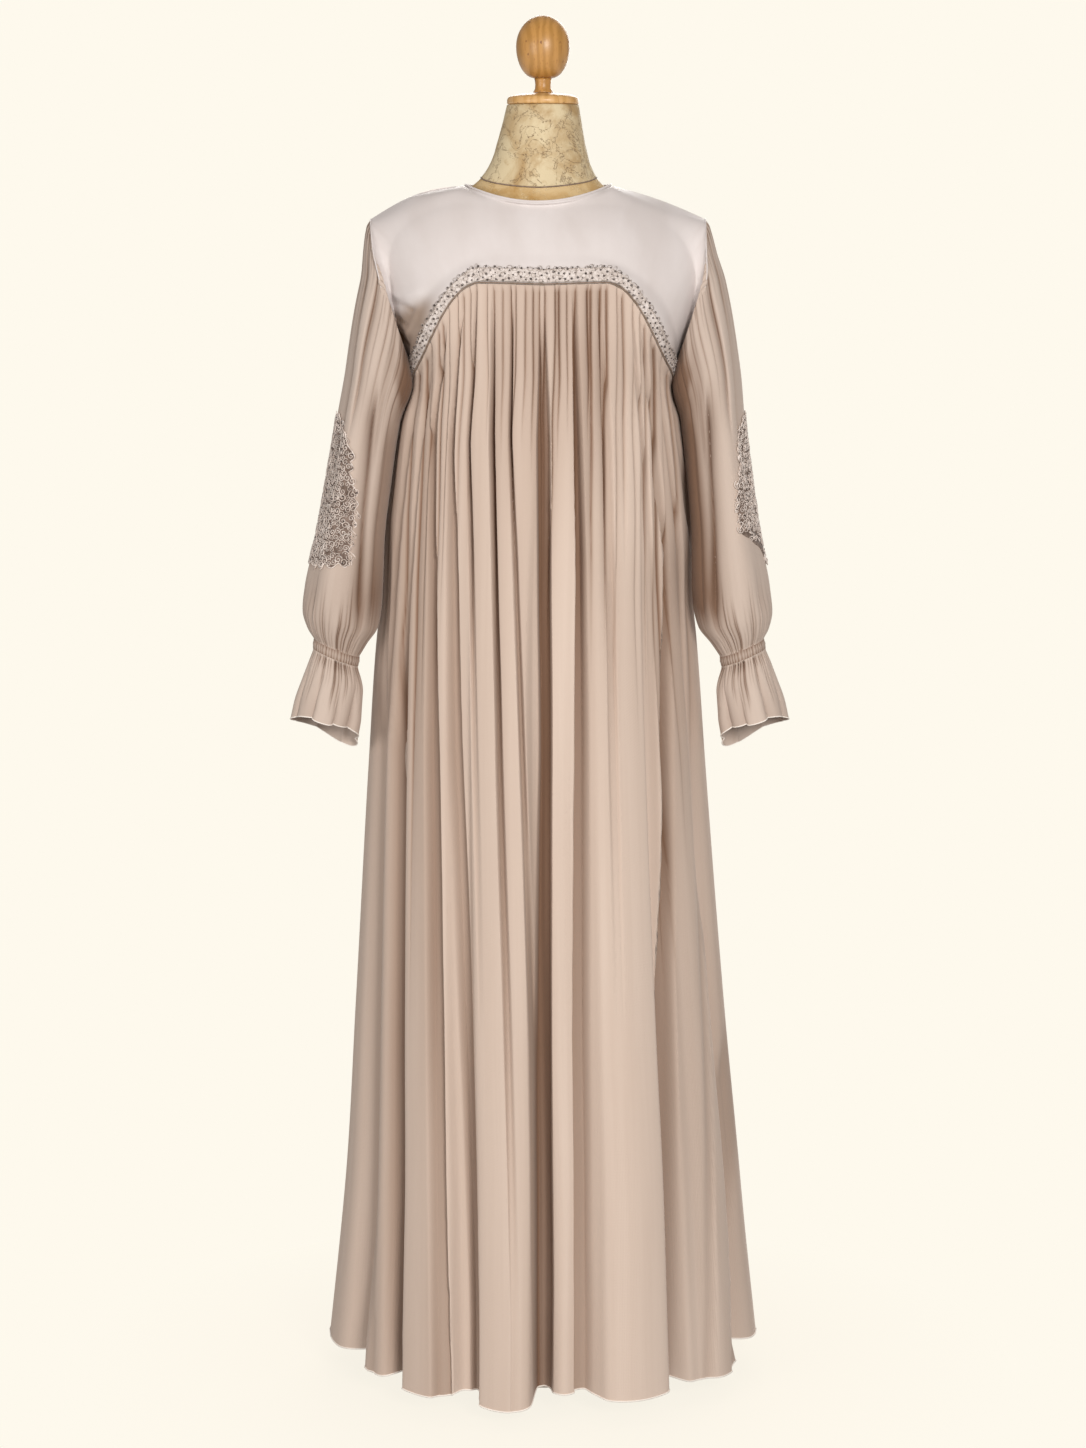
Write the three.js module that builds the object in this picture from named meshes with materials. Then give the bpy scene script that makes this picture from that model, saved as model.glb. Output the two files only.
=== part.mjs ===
// A floor-length gathered abaya with bishop sleeves, worn on a limbless dress form that stands on a round base.
// Millimetres, +Z up, the wearer's front towards -Y. The origin is the centre of the base's underside.
import * as THREE from "three";

// Driving dimensions.
const CLOTH = 1.4; // every cloth wall
const SEAM = 0.5; // clearance between two pieces that are sewn together
const SKIRT_SEAM = 0.8; // the same under the yoke, measured down its columns, which meet the edge at a slant
const ARMHOLE_SEAM = 1.75; // and where the sleeve turns down from the shoulder
const NECK = { halfWidth: 90, front: 71.5, back: 67, side: 1477, dipFront: 20.5, dipBack: 5 };
// The shoulder line's end, and how far the line arches on each side.
const SHOULDER = { x: 203, z: 1437, archRight: 10, archLeft: 3.5 };
const UNDERARM = { x: 161, z: 1262 };
const ARMHOLE_DEPTH = 62; // half the armhole, front to back
// Height of the strip along the yoke's lower edge that carries the beads and the piping.
const EDGE_BAND = { middle: 18, side: 12 };
const TRIM = { from: 0, to: 0.8, lift: 0.5, thick: 1.1 }; // shares of that strip
const PIPING = { from: 0.84, to: 0.98, lift: 0.5, thick: 1.5 };
const BINDING = { inward: 2.7, up: 2.1, halfWidth: 1.7, halfHeight: 2.6, sides: 6 }; // a rolled edge
const LACE = { lift: 0.6, thick: 1.1, from: 0.47, middle: 0.63, to: 0.8, pointed: 0.09, hollow: 0.03 };

// Outer surface of the garment's body at the crests of its folds: half width, and depth in front and behind.
const BODY = [
  { z: 0, width: 275, front: 266, back: 262, power: 2.0 },
  { z: 234, width: 250, front: 245, back: 238, power: 2.0 },
  { z: 467, width: 231, front: 224, back: 213, power: 2.0 },
  { z: 772, width: 209, front: 196, back: 180, power: 2.0 },
  { z: 922, width: 198, front: 180, back: 160, power: 2.05 },
  { z: 1046, width: 182, front: 163, back: 140, power: 2.1 },
  { z: 1150, width: 170, front: 149, back: 122, power: 2.2 },
  { z: 1238, width: 160, front: 138, back: 110, power: 2.3 },
  { z: 1262, width: 161, front: 135, back: 108, power: 2.35 },
  { z: 1290, width: 173, front: 131, back: 107, power: 2.45 },
  { z: 1330, width: 191, front: 123, back: 106, power: 2.5 },
  { z: 1376, width: 205, front: 111, back: 102, power: 2.5 },
  { z: 1400, width: 209, front: 102, back: 96, power: 2.4 },
  { z: 1425, width: 208, front: 91, back: 89, power: 2.3 },
  { z: 1437, width: 203, front: 85, back: 84, power: 2.2 },
  { z: 1450, width: 188, front: 78, back: 79, power: 2.1 },
  { z: 1460, width: 166, front: 73, back: 75, power: 2.0 },
  { z: 1470, width: 130, front: 69, back: 71, power: 2.0 },
  { z: 1477, width: 90, front: 66, back: 66, power: 2.0 },
];

// How far the hanging garment leans across, by height.
const LEAN = [
  { z: 0, body: 0, sleeve: 0 },
  { z: 234, body: 0, sleeve: 0 },
  { z: 467, body: -4, sleeve: -4 },
  { z: 772, body: -7.5, sleeve: -4 },
  { z: 900, body: -8, sleeve: -4 },
  { z: 980, body: -7.5, sleeve: -7 },
  { z: 1050, body: -6, sleeve: -6 },
  { z: 1190, body: -3, sleeve: -3 },
  { z: 1260, body: 0, sleeve: 0 },
  { z: 1361, body: 0, sleeve: 0 },
  { z: 1400, body: -4, sleeve: -4 },
  { z: 1437, body: -6, sleeve: -6 },
  { z: 1490, body: -6, sleeve: -6 },
];

// Lower edge of the yoke from the centre (0) to the side seam (1), the same in front and behind.
const YOKE_EDGE = [
  { s: 0, x: 0, z: 1359 },
  { s: 0.25, x: 75, z: 1361 },
  { s: 0.32, x: 92, z: 1355 },
  { s: 0.38, x: 105, z: 1343 },
  { s: 0.46, x: 117, z: 1326 },
  { s: 0.58, x: 131, z: 1299 },
  { s: 0.73, x: 146, z: 1269 },
  { s: 0.87, x: 156, z: 1250 },
  { s: 1, x: 160.4, z: 1238 },
];

// Lines of the gathered skirt. seam is the place along the yoke's edge, from -1 under the right arm to 1 under the
// left. hem is the place across the hem in mm, depth how far the line lies inside the crests there, and low how
// high the hem is.
const FRONT_FOLDS = [
  { seam: -1, hem: -275, depth: 0, low: 39 },
  { seam: -0.97, hem: -262, depth: 6, low: 40 },
  { seam: -0.94, hem: -250, depth: 38, low: 44 },
  { seam: -0.92, hem: -243, depth: 56, low: 47 },
  { seam: -0.9, hem: -238, depth: 24, low: 40 },
  { seam: -0.87, hem: -228, depth: 6, low: 33 },
  { seam: -0.82, hem: -200, depth: 8, low: 34 },
  { seam: -0.79, hem: -188, depth: 48, low: 42 },
  { seam: -0.76, hem: -182, depth: 40, low: 38 },
  { seam: -0.73, hem: -175, depth: 4, low: 29 },
  { seam: -0.58, hem: -136, depth: 0, low: 27 },
  { seam: -0.42, hem: -112, depth: 8, low: 29 },
  { seam: -0.37, hem: -102, depth: 34, low: 34 },
  { seam: -0.29, hem: -84, depth: 36, low: 32 },
  { seam: -0.24, hem: -73, depth: 8, low: 24 },
  { seam: -0.13, hem: -42, depth: 0, low: 20 },
  { seam: -0.04, hem: -15, depth: 8, low: 24 },
  { seam: 0, hem: -6, depth: 98, low: 36 },
  { seam: 0.02, hem: 5, depth: 118, low: 40 },
  { seam: 0.05, hem: 15, depth: 88, low: 38 },
  { seam: 0.1, hem: 31, depth: 70, low: 36 },
  { seam: 0.14, hem: 46, depth: 90, low: 38 },
  { seam: 0.19, hem: 66, depth: 92, low: 39 },
  { seam: 0.24, hem: 80, depth: 16, low: 29 },
  { seam: 0.33, hem: 116, depth: 0, low: 27 },
  { seam: 0.43, hem: 150, depth: 6, low: 29 },
  { seam: 0.46, hem: 157, depth: 34, low: 34 },
  { seam: 0.49, hem: 164, depth: 56, low: 37 },
  { seam: 0.53, hem: 174, depth: 36, low: 34 },
  { seam: 0.58, hem: 186, depth: 16, low: 29 },
  { seam: 0.62, hem: 194, depth: 18, low: 29 },
  { seam: 0.7, hem: 226, depth: 2, low: 26 },
  { seam: 0.77, hem: 250, depth: 6, low: 29 },
  { seam: 0.8, hem: 256, depth: 34, low: 38 },
  { seam: 0.83, hem: 259, depth: 54, low: 46 },
  { seam: 0.88, hem: 263, depth: 42, low: 46 },
  { seam: 0.94, hem: 270, depth: 8, low: 41 },
  { seam: 1, hem: 275, depth: 0, low: 39 },
];
const BACK_FOLDS = [
  { seam: -1, hem: -275, depth: 0, low: 39 },
  { seam: -0.9, hem: -260, depth: 6, low: 36 },
  { seam: -0.8, hem: -243, depth: 48, low: 40 },
  { seam: -0.7, hem: -222, depth: 10, low: 32 },
  { seam: -0.56, hem: -184, depth: 0, low: 27 },
  { seam: -0.46, hem: -154, depth: 64, low: 36 },
  { seam: -0.39, hem: -128, depth: 70, low: 35 },
  { seam: -0.31, hem: -104, depth: 8, low: 24 },
  { seam: -0.21, hem: -70, depth: 0, low: 21 },
  { seam: -0.13, hem: -46, depth: 52, low: 30 },
  { seam: -0.07, hem: -24, depth: 58, low: 31 },
  { seam: -0.01, hem: -6, depth: 8, low: 22 },
  { seam: 0.09, hem: 30, depth: 0, low: 20 },
  { seam: 0.17, hem: 56, depth: 76, low: 34 },
  { seam: 0.25, hem: 82, depth: 60, low: 32 },
  { seam: 0.33, hem: 106, depth: 6, low: 23 },
  { seam: 0.44, hem: 144, depth: 0, low: 25 },
  { seam: 0.53, hem: 170, depth: 66, low: 36 },
  { seam: 0.62, hem: 194, depth: 58, low: 36 },
  { seam: 0.71, hem: 218, depth: 6, low: 29 },
  { seam: 0.8, hem: 238, depth: 12, low: 32 },
  { seam: 0.87, hem: 250, depth: 40, low: 38 },
  { seam: 0.93, hem: 262, depth: 8, low: 36 },
  { seam: 1, hem: 275, depth: 0, low: 39 },
];
const SIDE_PANEL = { from: 0.7, to: 0.94 }; // where the yoke changes from following the body to hanging straight
const FOLD_START = 0.14; // how far down the skirt its large folds begin
// The pleats under the yoke, which melt into the folds.
const PLEATS = { count: 30, depth: 6, from: 0, peak: 0.08, gone: 0.42 };

// Sleeve from armhole to wrist: its outer and inner edge seen from the front, how far back it hangs, and half its
// depth.
const SLEEVE = [
  { v: 0, outX: 203, outZ: 1437, inX: 161, inZ: 1262, y: 0, deep: 62 },
  { v: 0.035, outX: 212, outZ: 1433, inX: 165, inZ: 1253, y: 0, deep: 65 },
  { v: 0.12, outX: 220, outZ: 1390, inX: 171, inZ: 1238, y: -2, deep: 68 },
  { v: 0.24, outX: 231, outZ: 1325, inX: 173, inZ: 1212, y: -6, deep: 68 },
  { v: 0.38, outX: 243, outZ: 1245, inX: 177, inZ: 1175, y: -12, deep: 65 },
  { v: 0.54, outX: 255, outZ: 1155, inX: 182, inZ: 1110, y: -21, deep: 61 },
  { v: 0.7, outX: 270, outZ: 1060, inX: 185, inZ: 1040, y: -34, deep: 58 },
  { v: 0.83, outX: 284, outZ: 995, inX: 188, inZ: 980, y: -46, deep: 55 },
  { v: 0.91, outX: 287, outZ: 965, inX: 195, inZ: 945, y: -53, deep: 47 },
  { v: 0.96, outX: 282, outZ: 945, inX: 209.5, inZ: 925, y: -57, deep: 37 },
  { v: 1, outX: 274, outZ: 931, inX: 220, inZ: 909, y: -60, deep: 28 },
];
const CUFF = [
  { v: 0, outX: 274, outZ: 930.3, inX: 220, inZ: 908.3, y: -60.2, deep: 28 },
  { v: 1, outX: 275.5, outZ: 920.5, inX: 221.5, inZ: 898.5, y: -62.5, deep: 28 },
];
const RUFFLE = [
  { v: 0, outX: 275.6, outZ: 919.8, inX: 221.6, inZ: 897.8, y: -62.7, deep: 28, tilt: 0 },
  { v: 0.35, outX: 288, outZ: 889, inX: 220, inZ: 865, y: -69, deep: 34, tilt: 2 },
  { v: 0.7, outX: 300, outZ: 859, inX: 222, inZ: 832, y: -76, deep: 38, tilt: 7 },
  { v: 1, outX: 307, outZ: 837, inX: 226, inZ: 806, y: -81, deep: 40, tilt: 11 },
];
const SLEEVE_FOLDS = { count: 5, depth: 8, shift: 0.5, from: 0.12, peak: 0.42, fades: 0.8, gone: 0.92 };
const HEAD_PLEATS = { count: 12, depth: 5, from: 0, peak: 0.06, gone: 0.3 };
const WRIST_PLEATS = { count: 12, depth: 5, from: 0.8, peak: 0.93, gone: 1 };
const RUFFLE_FOLDS = { count: 8, depth: 8, hemWave: 4 };

// The dress form, as half widths and depths. x is where its middle lies.
const FORM = [
  { z: 850, x: 0, width: 140, front: 92, back: 96, power: 2.0 },
  { z: 858, x: 0, width: 150, front: 100, back: 104, power: 2.0 },
  { z: 900, x: 0, width: 155, front: 104, back: 110, power: 2.0 },
  { z: 980, x: 0, width: 141, front: 98, back: 102, power: 2.0 },
  { z: 1070, x: 0, width: 120, front: 90, back: 84, power: 2.0 },
  { z: 1150, x: 0, width: 130, front: 101, back: 86, power: 2.1 },
  { z: 1238, x: 0, width: 146, front: 118, back: 92, power: 2.2 },
  { z: 1270, x: 0, width: 149, front: 121, back: 93, power: 2.2 },
  { z: 1300, x: 0, width: 155, front: 117, back: 94, power: 2.3 },
  { z: 1340, x: 0, width: 167, front: 109, back: 94, power: 2.35 },
  { z: 1376, x: -1, width: 179, front: 101, back: 92, power: 2.4 },
  { z: 1405, x: -4, width: 183, front: 87, back: 79, power: 2.15 },
  { z: 1425, x: -5.5, width: 180, front: 75, back: 71, power: 2.0 },
  { z: 1439, x: -6, width: 172, front: 66.5, back: 65, power: 1.85 },
  { z: 1449, x: -6, width: 157, front: 61.5, back: 62, power: 1.7 },
  { z: 1457.9, x: -6, width: 136, front: 57, back: 59.5, power: 1.6 },
  { z: 1465.2, x: -6, width: 110, front: 53.5, back: 57, power: 1.5 },
  { z: 1471, x: -6, width: 92, front: 52, back: 56, power: 1.5 },
  { z: 1476, x: -6, width: 81, front: 51, back: 55, power: 1.55 },
  { z: 1482, x: -5.5, width: 74, front: 50.5, back: 54, power: 1.65 },
  { z: 1488, x: -5, width: 68.5, front: 50, back: 53.5, power: 1.8 },
  { z: 1496, x: -4, width: 63.5, front: 49.5, back: 52.5, power: 1.95 },
  { z: 1508, x: -3, width: 58, front: 49, back: 51, power: 2.0 },
  { z: 1532, x: -2, width: 51.5, front: 47, back: 48, power: 2.0 },
  { z: 1573.6, x: 0, width: 42.5, front: 42, back: 42, power: 2.0 },
];
const CAP = { radius: 43.5, low: 1574, rim: 1581, high: 1588 };
const STEM = { radius: 9.8, low: 1588.3, high: 1605 };
const FINIAL = { radius: 32.5, low: 1605.3, widest: 1643, high: 1680, seat: 10 };
const POLE = { radius: 12.5, low: 12.3, high: 849.7 };
const BASE = { radius: 115, edge: 6, high: 12, boss: 20 };

const COLOURS = {
  chiffon: { color: "#cdb9ab", roughness: 0.8, metalness: 0 },
  satin: { color: "#d9cec9", roughness: 0.55, metalness: 0 },
  thread: { color: "#a8968d", roughness: 0.75, metalness: 0 },
  lace: { color: "#bfaca2", roughness: 0.75, metalness: 0 },
  parchment: { color: "#dcc7a0", roughness: 0.7, metalness: 0 },
  beech: { color: "#d9a866", roughness: 0.35, metalness: 0 },
  steel: { color: "#e6dccb", roughness: 0.5, metalness: 0 },
};

// How finely each faceted piece is divided.
const YOKE_COLUMNS = { neck: 5, shoulder: 4, armhole: 6 };
const YOKE_ROWS = [0, 0.012, 0.05, 0.16, 0.45, 0.8];
const SKIRT_ROWS = [0, 0.03, 0.08, 0.2, 0.4, 0.68, 1];
const SLEEVE_COLUMNS = 24;
const SLEEVE_ROWS = [0, 0.02, 0.06, 0.14, 0.3, 0.47, 0.63, 0.8, 0.9, 1];
// The lace's edges as sleeve columns from the outer edge, front and back.
const LACE_COLUMNS = { right: [-6, 4], left: [-5, 4] };
const FORM_COLUMNS = 36;

const { PI, sin, cos, sign, abs, pow, asin, atan2, min, max, floor, hypot } = Math;
const mix = (a, b, t) => a + (b - a) * t;
const clamp = (t, low = 0, high = 1) => max(low, min(high, t));
const ease = (t) => (1 - cos(PI * clamp(t))) / 2;
const between = (v, from, to) => ease((v - from) / (to - from));
const rise = (v, { from, peak, fades = peak, gone }) => between(v, from, peak) * (1 - between(v, fades, gone));
const signedPow = (x, p) => sign(x) * pow(abs(x), p);
const steps = (a, b, n) => Array.from({ length: n + 1 }, (_, i) => mix(a, b, i / n));

/** A smooth curve through one column of a table, with no overshoot between its rows. */
function through(rows, along, name) {
  const x = rows.map((row) => row[along]);
  const y = rows.map((row) => row[name]);
  const rise = x.slice(1).map((next, i) => (y[i + 1] - y[i]) / (next - x[i]));
  const slope = x.map((_, i) => {
    const before = rise[i - 1] ?? rise[i];
    const after = rise[i] ?? rise[i - 1];
    return before * after > 0 ? (2 * before * after) / (before + after) : 0;
  });
  return (at) => {
    let i = 0;
    while (i < x.length - 2 && at > x[i + 1]) i++;
    const span = x[i + 1] - x[i];
    const t = clamp((at - x[i]) / span);
    const [t2, t3] = [t * t, t * t * t];
    return (
      y[i] * (2 * t3 - 3 * t2 + 1) +
      slope[i] * span * (t3 - 2 * t2 + t) +
      y[i + 1] * (3 * t2 - 2 * t3) +
      slope[i + 1] * span * (t3 - t2)
    );
  };
}

/** Every column of a table as smooth curves: tableOf(BODY, "z")(900).width and so on. */
function tableOf(rows, along) {
  const names = Object.keys(rows[0]).filter((name) => name !== along);
  const curves = names.map((name) => through(rows, along, name));
  return (at) => Object.fromEntries(names.map((name, i) => [name, curves[i](at)]));
}

const bodyAt = tableOf(BODY, "z");
const leanAt = tableOf(LEAN, "z");
const formAt = tableOf(FORM, "z");
const yokeEdgeAt = tableOf(YOKE_EDGE, "s");
const frontFoldAt = tableOf(FRONT_FOLDS, "seam");
const backFoldAt = tableOf(BACK_FOLDS, "seam");

function solid(positions, index) {
  const positionOf = new THREE.Float32BufferAttribute(positions, 3);
  return new THREE.BufferGeometry().setAttribute("position", positionOf).setIndex(index);
}

/** A closed mesh from a grid of outer points and a grid of inner ones. wrap joins the last column to the first. */
function shell(outer, inner, wrap) {
  const columns = outer.length;
  const rows = outer[0].length;
  const points = [...outer.flat(), ...inner.flat()];
  const out = (i, j) => (i % columns) * rows + j;
  const inn = (i, j) => columns * rows + out(i, j);
  const last = wrap ? columns : columns - 1;
  const bottom = rows - 1;
  const index = [];
  const quad = (a, b, c, d) => index.push(a, b, c, a, c, d);
  for (let i = 0; i < last; i++) {
    for (let j = 0; j < bottom; j++) {
      quad(out(i, j), out(i, j + 1), out(i + 1, j + 1), out(i + 1, j));
      quad(inn(i, j), inn(i + 1, j), inn(i + 1, j + 1), inn(i, j + 1));
    }
    quad(out(i, 0), out(i + 1, 0), inn(i + 1, 0), inn(i, 0));
    quad(out(i, bottom), inn(i, bottom), inn(i + 1, bottom), out(i + 1, bottom));
  }
  for (let j = 0; j < bottom && !wrap; j++) {
    quad(out(0, j), inn(0, j), inn(0, j + 1), out(0, j + 1));
    quad(out(last, j), out(last, j + 1), inn(last, j + 1), inn(last, j));
  }
  return solid(points.flatMap((p) => p.toArray()), index);
}

/**
 * A cloth wall over point(u, v), where v runs downwards and u to the right as seen from outside. It fills from low
 * to high along the surface's outward normal. keep(p) holds a point on its own side of a seam.
 */
function wall(point, us, vs, options = {}) {
  const { low = -CLOTH, high = 0, wrap, mirrored, leans = "body", keep = (p) => p } = options;
  const step = 1e-4;
  const flip = new THREE.Vector3(mirrored ? -1 : 1, 1, 1);
  const moved = (u, v, by) => {
    const alongU = point(u + step, v).sub(point(u - step, v));
    const alongV = point(u, v + step).sub(point(u, v - step));
    const normal = alongV.cross(alongU).normalize();
    const p = keep(point(u, v).addScaledVector(normal, by)).multiply(flip);
    return p.setX(p.x + leanAt(p.z)[leans]);
  };
  const grid = (by) => us.map((u) => vs.map((v) => moved(u, v, by)));
  const [outer, inner] = [grid(high), grid(low)];
  return mirrored ? shell(outer.reverse(), inner.reverse(), wrap) : shell(outer, inner, wrap);
}

/** Keeps a point of the front (-1) or back (1) of the garment on its side of the side and shoulder seams. */
const onSide = (facing) => (p) => p.setY(facing * max(SEAM / 2, facing * p.y));

/** A point on the garment's body at height z: turn is 0 in the middle and 90 degrees at the side seam. */
function bodyPoint(turn, z, facing, inside = 0) {
  const at = bodyAt(z);
  const depth = facing < 0 ? at.front : at.back;
  const x = at.width * signedPow(sin(turn), 2 / at.power);
  const y = facing * depth * signedPow(cos(turn), 2 / at.power);
  const keep = 1 - inside / hypot(x, y);
  return new THREE.Vector3(x * keep, y * keep, z);
}

/** The turn of a point that lies on the body. */
function turnOf(p, facing) {
  const at = bodyAt(p.z);
  const depth = facing < 0 ? at.front : at.back;
  const across = signedPow(p.x / at.width, at.power / 2);
  return atan2(across, pow(clamp((facing * p.y) / depth), at.power / 2));
}

// Yoke.
const YOKE_HALF = YOKE_COLUMNS.neck + YOKE_COLUMNS.shoulder + YOKE_COLUMNS.armhole;
const NECK_END = YOKE_COLUMNS.neck / YOKE_HALF;
const SHOULDER_END = (YOKE_COLUMNS.neck + YOKE_COLUMNS.shoulder) / YOKE_HALF;
const BAND_START = 0.8; // v at the upper edge of the strip along the lower edge

/** The yoke's upper outline from the centre (0) past the neck and the arched shoulder to the underarm (1). */
function yokeOutline(e, facing, arch = 0) {
  if (e <= NECK_END) {
    const turn = (e / NECK_END) * (PI / 2);
    const depth = facing < 0 ? NECK.front : NECK.back;
    const dip = facing < 0 ? NECK.dipFront : NECK.dipBack;
    const z = NECK.side - dip * cos(turn) ** 2;
    return new THREE.Vector3(NECK.halfWidth * sin(turn), facing * depth * cos(turn), z);
  }
  if (e <= SHOULDER_END) {
    const t = (e - NECK_END) / (SHOULDER_END - NECK_END);
    const z = mix(NECK.side, SHOULDER.z, t) + arch * sin(PI * t);
    return new THREE.Vector3(mix(NECK.halfWidth, SHOULDER.x, t), 0, z);
  }
  const turn = ((e - SHOULDER_END) / (1 - SHOULDER_END)) * PI;
  const t = (1 - cos(turn)) / 2;
  const y = facing * ARMHOLE_DEPTH * sin(turn);
  return new THREE.Vector3(mix(SHOULDER.x, UNDERARM.x, t), y, mix(SHOULDER.z, UNDERARM.z, t));
}

/** How far a point of the body with this x and z lies from the middle, front to back. */
function bodyDepth(x, z, facing) {
  const at = bodyAt(z);
  const depth = facing < 0 ? at.front : at.back;
  return depth * pow(clamp(1 - pow(clamp(x / at.width), at.power)), 1 / at.power);
}

const bandHeight = (e) => mix(EDGE_BAND.middle, EDGE_BAND.side, e ** 3);
const inBand = (share) => mix(BAND_START, 1, share);

/**
 * A point of the yoke: u from -1 to 1 across, v from 0 at its upper outline to 1 at its lower edge. It follows the
 * body, and under the arm it hangs straight from the armhole to the lower edge.
 */
function yokePoint(u, v, facing) {
  const e = clamp(abs(u));
  const top = yokeOutline(e, facing, u < 0 ? SHOULDER.archRight : SHOULDER.archLeft);
  const edge = yokeEdgeAt(e);
  const band = bandHeight(e) / hypot(top.x - edge.x, top.z - edge.z);
  const t = v < BAND_START ? (v / BAND_START) * (1 - band) : 1 - (band * (1 - v)) / (1 - BAND_START);
  const x = mix(top.x, edge.x, t);
  const z = mix(top.z, edge.z, t);
  const lift = facing * top.y - bodyDepth(top.x, top.z, facing);
  const round = bodyDepth(x, z, facing) + lift * clamp(1 - t) ** 2;
  const straight = mix(facing * top.y, bodyDepth(edge.x, edge.z, facing), t);
  const y = facing * mix(round, straight, between(e, SIDE_PANEL.from, SIDE_PANEL.to));
  return onSide(facing)(new THREE.Vector3((sign(u) || 1) * x, y, z));
}

/** Column places across a piece, to the right as seen from outside. */
const YOKE_PLACES = steps(-1, 1, 2 * YOKE_HALF);

function yoke(facing) {
  const point = (u, v) => yokePoint(-facing * u, v, facing);
  return wall(point, YOKE_PLACES, [...YOKE_ROWS, inBand(TRIM.to), 1], { keep: onSide(facing) });
}

/** A strip on the front yoke, in the band along its lower edge. It stops just short of the side seams. */
function yokeStrip({ from, to, lift, thick }) {
  const point = (u, v) => yokePoint(u, v, -1);
  const short = YOKE_PLACES.slice(1, -1);
  const filled = { low: lift, high: lift + thick, keep: onSide(-1) };
  return wall(point, short, [inBand(from), inBand(to)], filled);
}

/** The rolled binding, a ring just inside the neckline. */
function neckBinding() {
  const { sides } = BINDING;
  const columns = 4 * YOKE_COLUMNS.neck;
  const points = [];
  const index = [];
  for (let i = 0; i < columns; i++) {
    const turn = (2 * PI * i) / columns;
    const [depth, dip] = cos(turn) > 0 ? [NECK.front, NECK.dipFront] : [NECK.back, NECK.dipBack];
    for (let k = 0; k < sides; k++) {
      const round = (2 * PI * k) / sides;
      const inward = BINDING.inward - BINDING.halfWidth * cos(round);
      const z = NECK.side - dip * cos(turn) ** 2 + BINDING.up + BINDING.halfHeight * sin(round);
      points.push(leanAt(z).body + (NECK.halfWidth - inward) * sin(turn), -(depth - inward) * cos(turn), z);
      const [next, turnOn] = [(i + 1) % columns, (k + 1) % sides];
      const [a, b, c, d] = [i * sides + k, next * sides + k, next * sides + turnOn, i * sides + turnOn];
      index.push(a, b, c, a, c, d);
    }
  }
  return solid(points, index);
}

// Skirt.

/** A point just under the yoke's lower edge, on the straight facet between two of the yoke's columns. */
function seamPoint(s, facing) {
  const column = clamp(abs(s)) * YOKE_HALF;
  const i = min(floor(column), YOKE_HALF - 1);
  const side = sign(s) || 1;
  const below = (k) => {
    const v = inBand(1 + SKIRT_SEAM / bandHeight(k / YOKE_HALF));
    return yokePoint((side * k) / YOKE_HALF, v, facing);
  };
  return below(i).lerp(below(i + 1), column - i);
}

/** How deep the pleats and the large folds are at place s along the seam, v down the skirt. */
function foldDepth(s, v, depthAtHem) {
  const large = depthAtHem * clamp((v - FOLD_START) / (1 - FOLD_START));
  return large + PLEATS.depth * rise(v, PLEATS) * (0.5 - cos(PI * PLEATS.count * s) / 2);
}

function skirtPoint(s, v, facing) {
  const start = seamPoint(s, facing);
  const fold = (facing < 0 ? frontFoldAt : backFoldAt)(s);
  const startTurn = turnOf(start, facing);
  const hemTurn = asin(clamp(fold.hem / BODY[0].width, -1, 1));
  const inside = foldDepth(s, v, fold.depth);
  const p = bodyPoint(mix(startTurn, hemTurn, v), mix(start.z, fold.low, v), facing, inside);
  const offBody = start.clone().sub(bodyPoint(startTurn, start.z, facing));
  return onSide(facing)(p.addScaledVector(offBody, 1 - ease(v / PLEATS.peak)));
}

/** The skirt's columns: one for each fold line, and for each pleat's crest and valley not too near to a line. */
function skirtPlaces(folds) {
  const lines = folds.map((fold) => fold.seam);
  const near = 0.35 / PLEATS.count;
  const isFree = (s) => lines.every((line) => abs(line - s) > near);
  const pleats = steps(-1, 1, 2 * PLEATS.count).filter(isFree);
  return [...lines, ...pleats].sort((a, b) => a - b);
}

function skirt(facing) {
  const places = skirtPlaces(facing < 0 ? FRONT_FOLDS : BACK_FOLDS);
  const seen = facing < 0 ? places : places.map((s) => -s).reverse();
  const point = (u, v) => skirtPoint(facing < 0 ? u : -u, v, facing);
  return wall(point, seen, SKIRT_ROWS, { keep: onSide(facing) });
}

// Sleeves. u goes once round from the outer edge, first over the back. turn is the same angle the other way round.

/** A point on an oval ring between an outer and an inner edge point. */
function ringPoint(at, turn, inside) {
  const centre = new THREE.Vector3((at.outX + at.inX) / 2, at.y, (at.outZ + at.inZ) / 2);
  const out = new THREE.Vector3((at.outX - at.inX) / 2, 0, (at.outZ - at.inZ) / 2).multiplyScalar(cos(turn));
  const spoke = out.add(new THREE.Vector3(0, -at.deep * sin(turn), 0));
  return centre.addScaledVector(spoke, 1 - inside / spoke.length());
}

const sleeveAt = tableOf(SLEEVE, "v");
const cuffAt = tableOf(CUFF, "v");
const ruffleAt = tableOf(RUFFLE, "v");

/** A point of the armhole on the straight facet between two of the yoke's columns, and just clear of it. */
function armholePoint(turn) {
  const facing = sin(turn) > 0 ? -1 : 1;
  const half = abs(atan2(sin(turn), cos(turn)));
  const column = (half / PI) * YOKE_COLUMNS.armhole;
  const i = min(floor(column), YOKE_COLUMNS.armhole - 1);
  const corner = (k) => yokeOutline(mix(SHOULDER_END, 1, k / YOKE_COLUMNS.armhole), facing);
  const slope = new THREE.Vector3(SHOULDER.z - UNDERARM.z, 0, UNDERARM.x - SHOULDER.x).normalize();
  return corner(i).lerp(corner(i + 1), column - i).addScaledVector(slope, ARMHOLE_SEAM);
}

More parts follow.
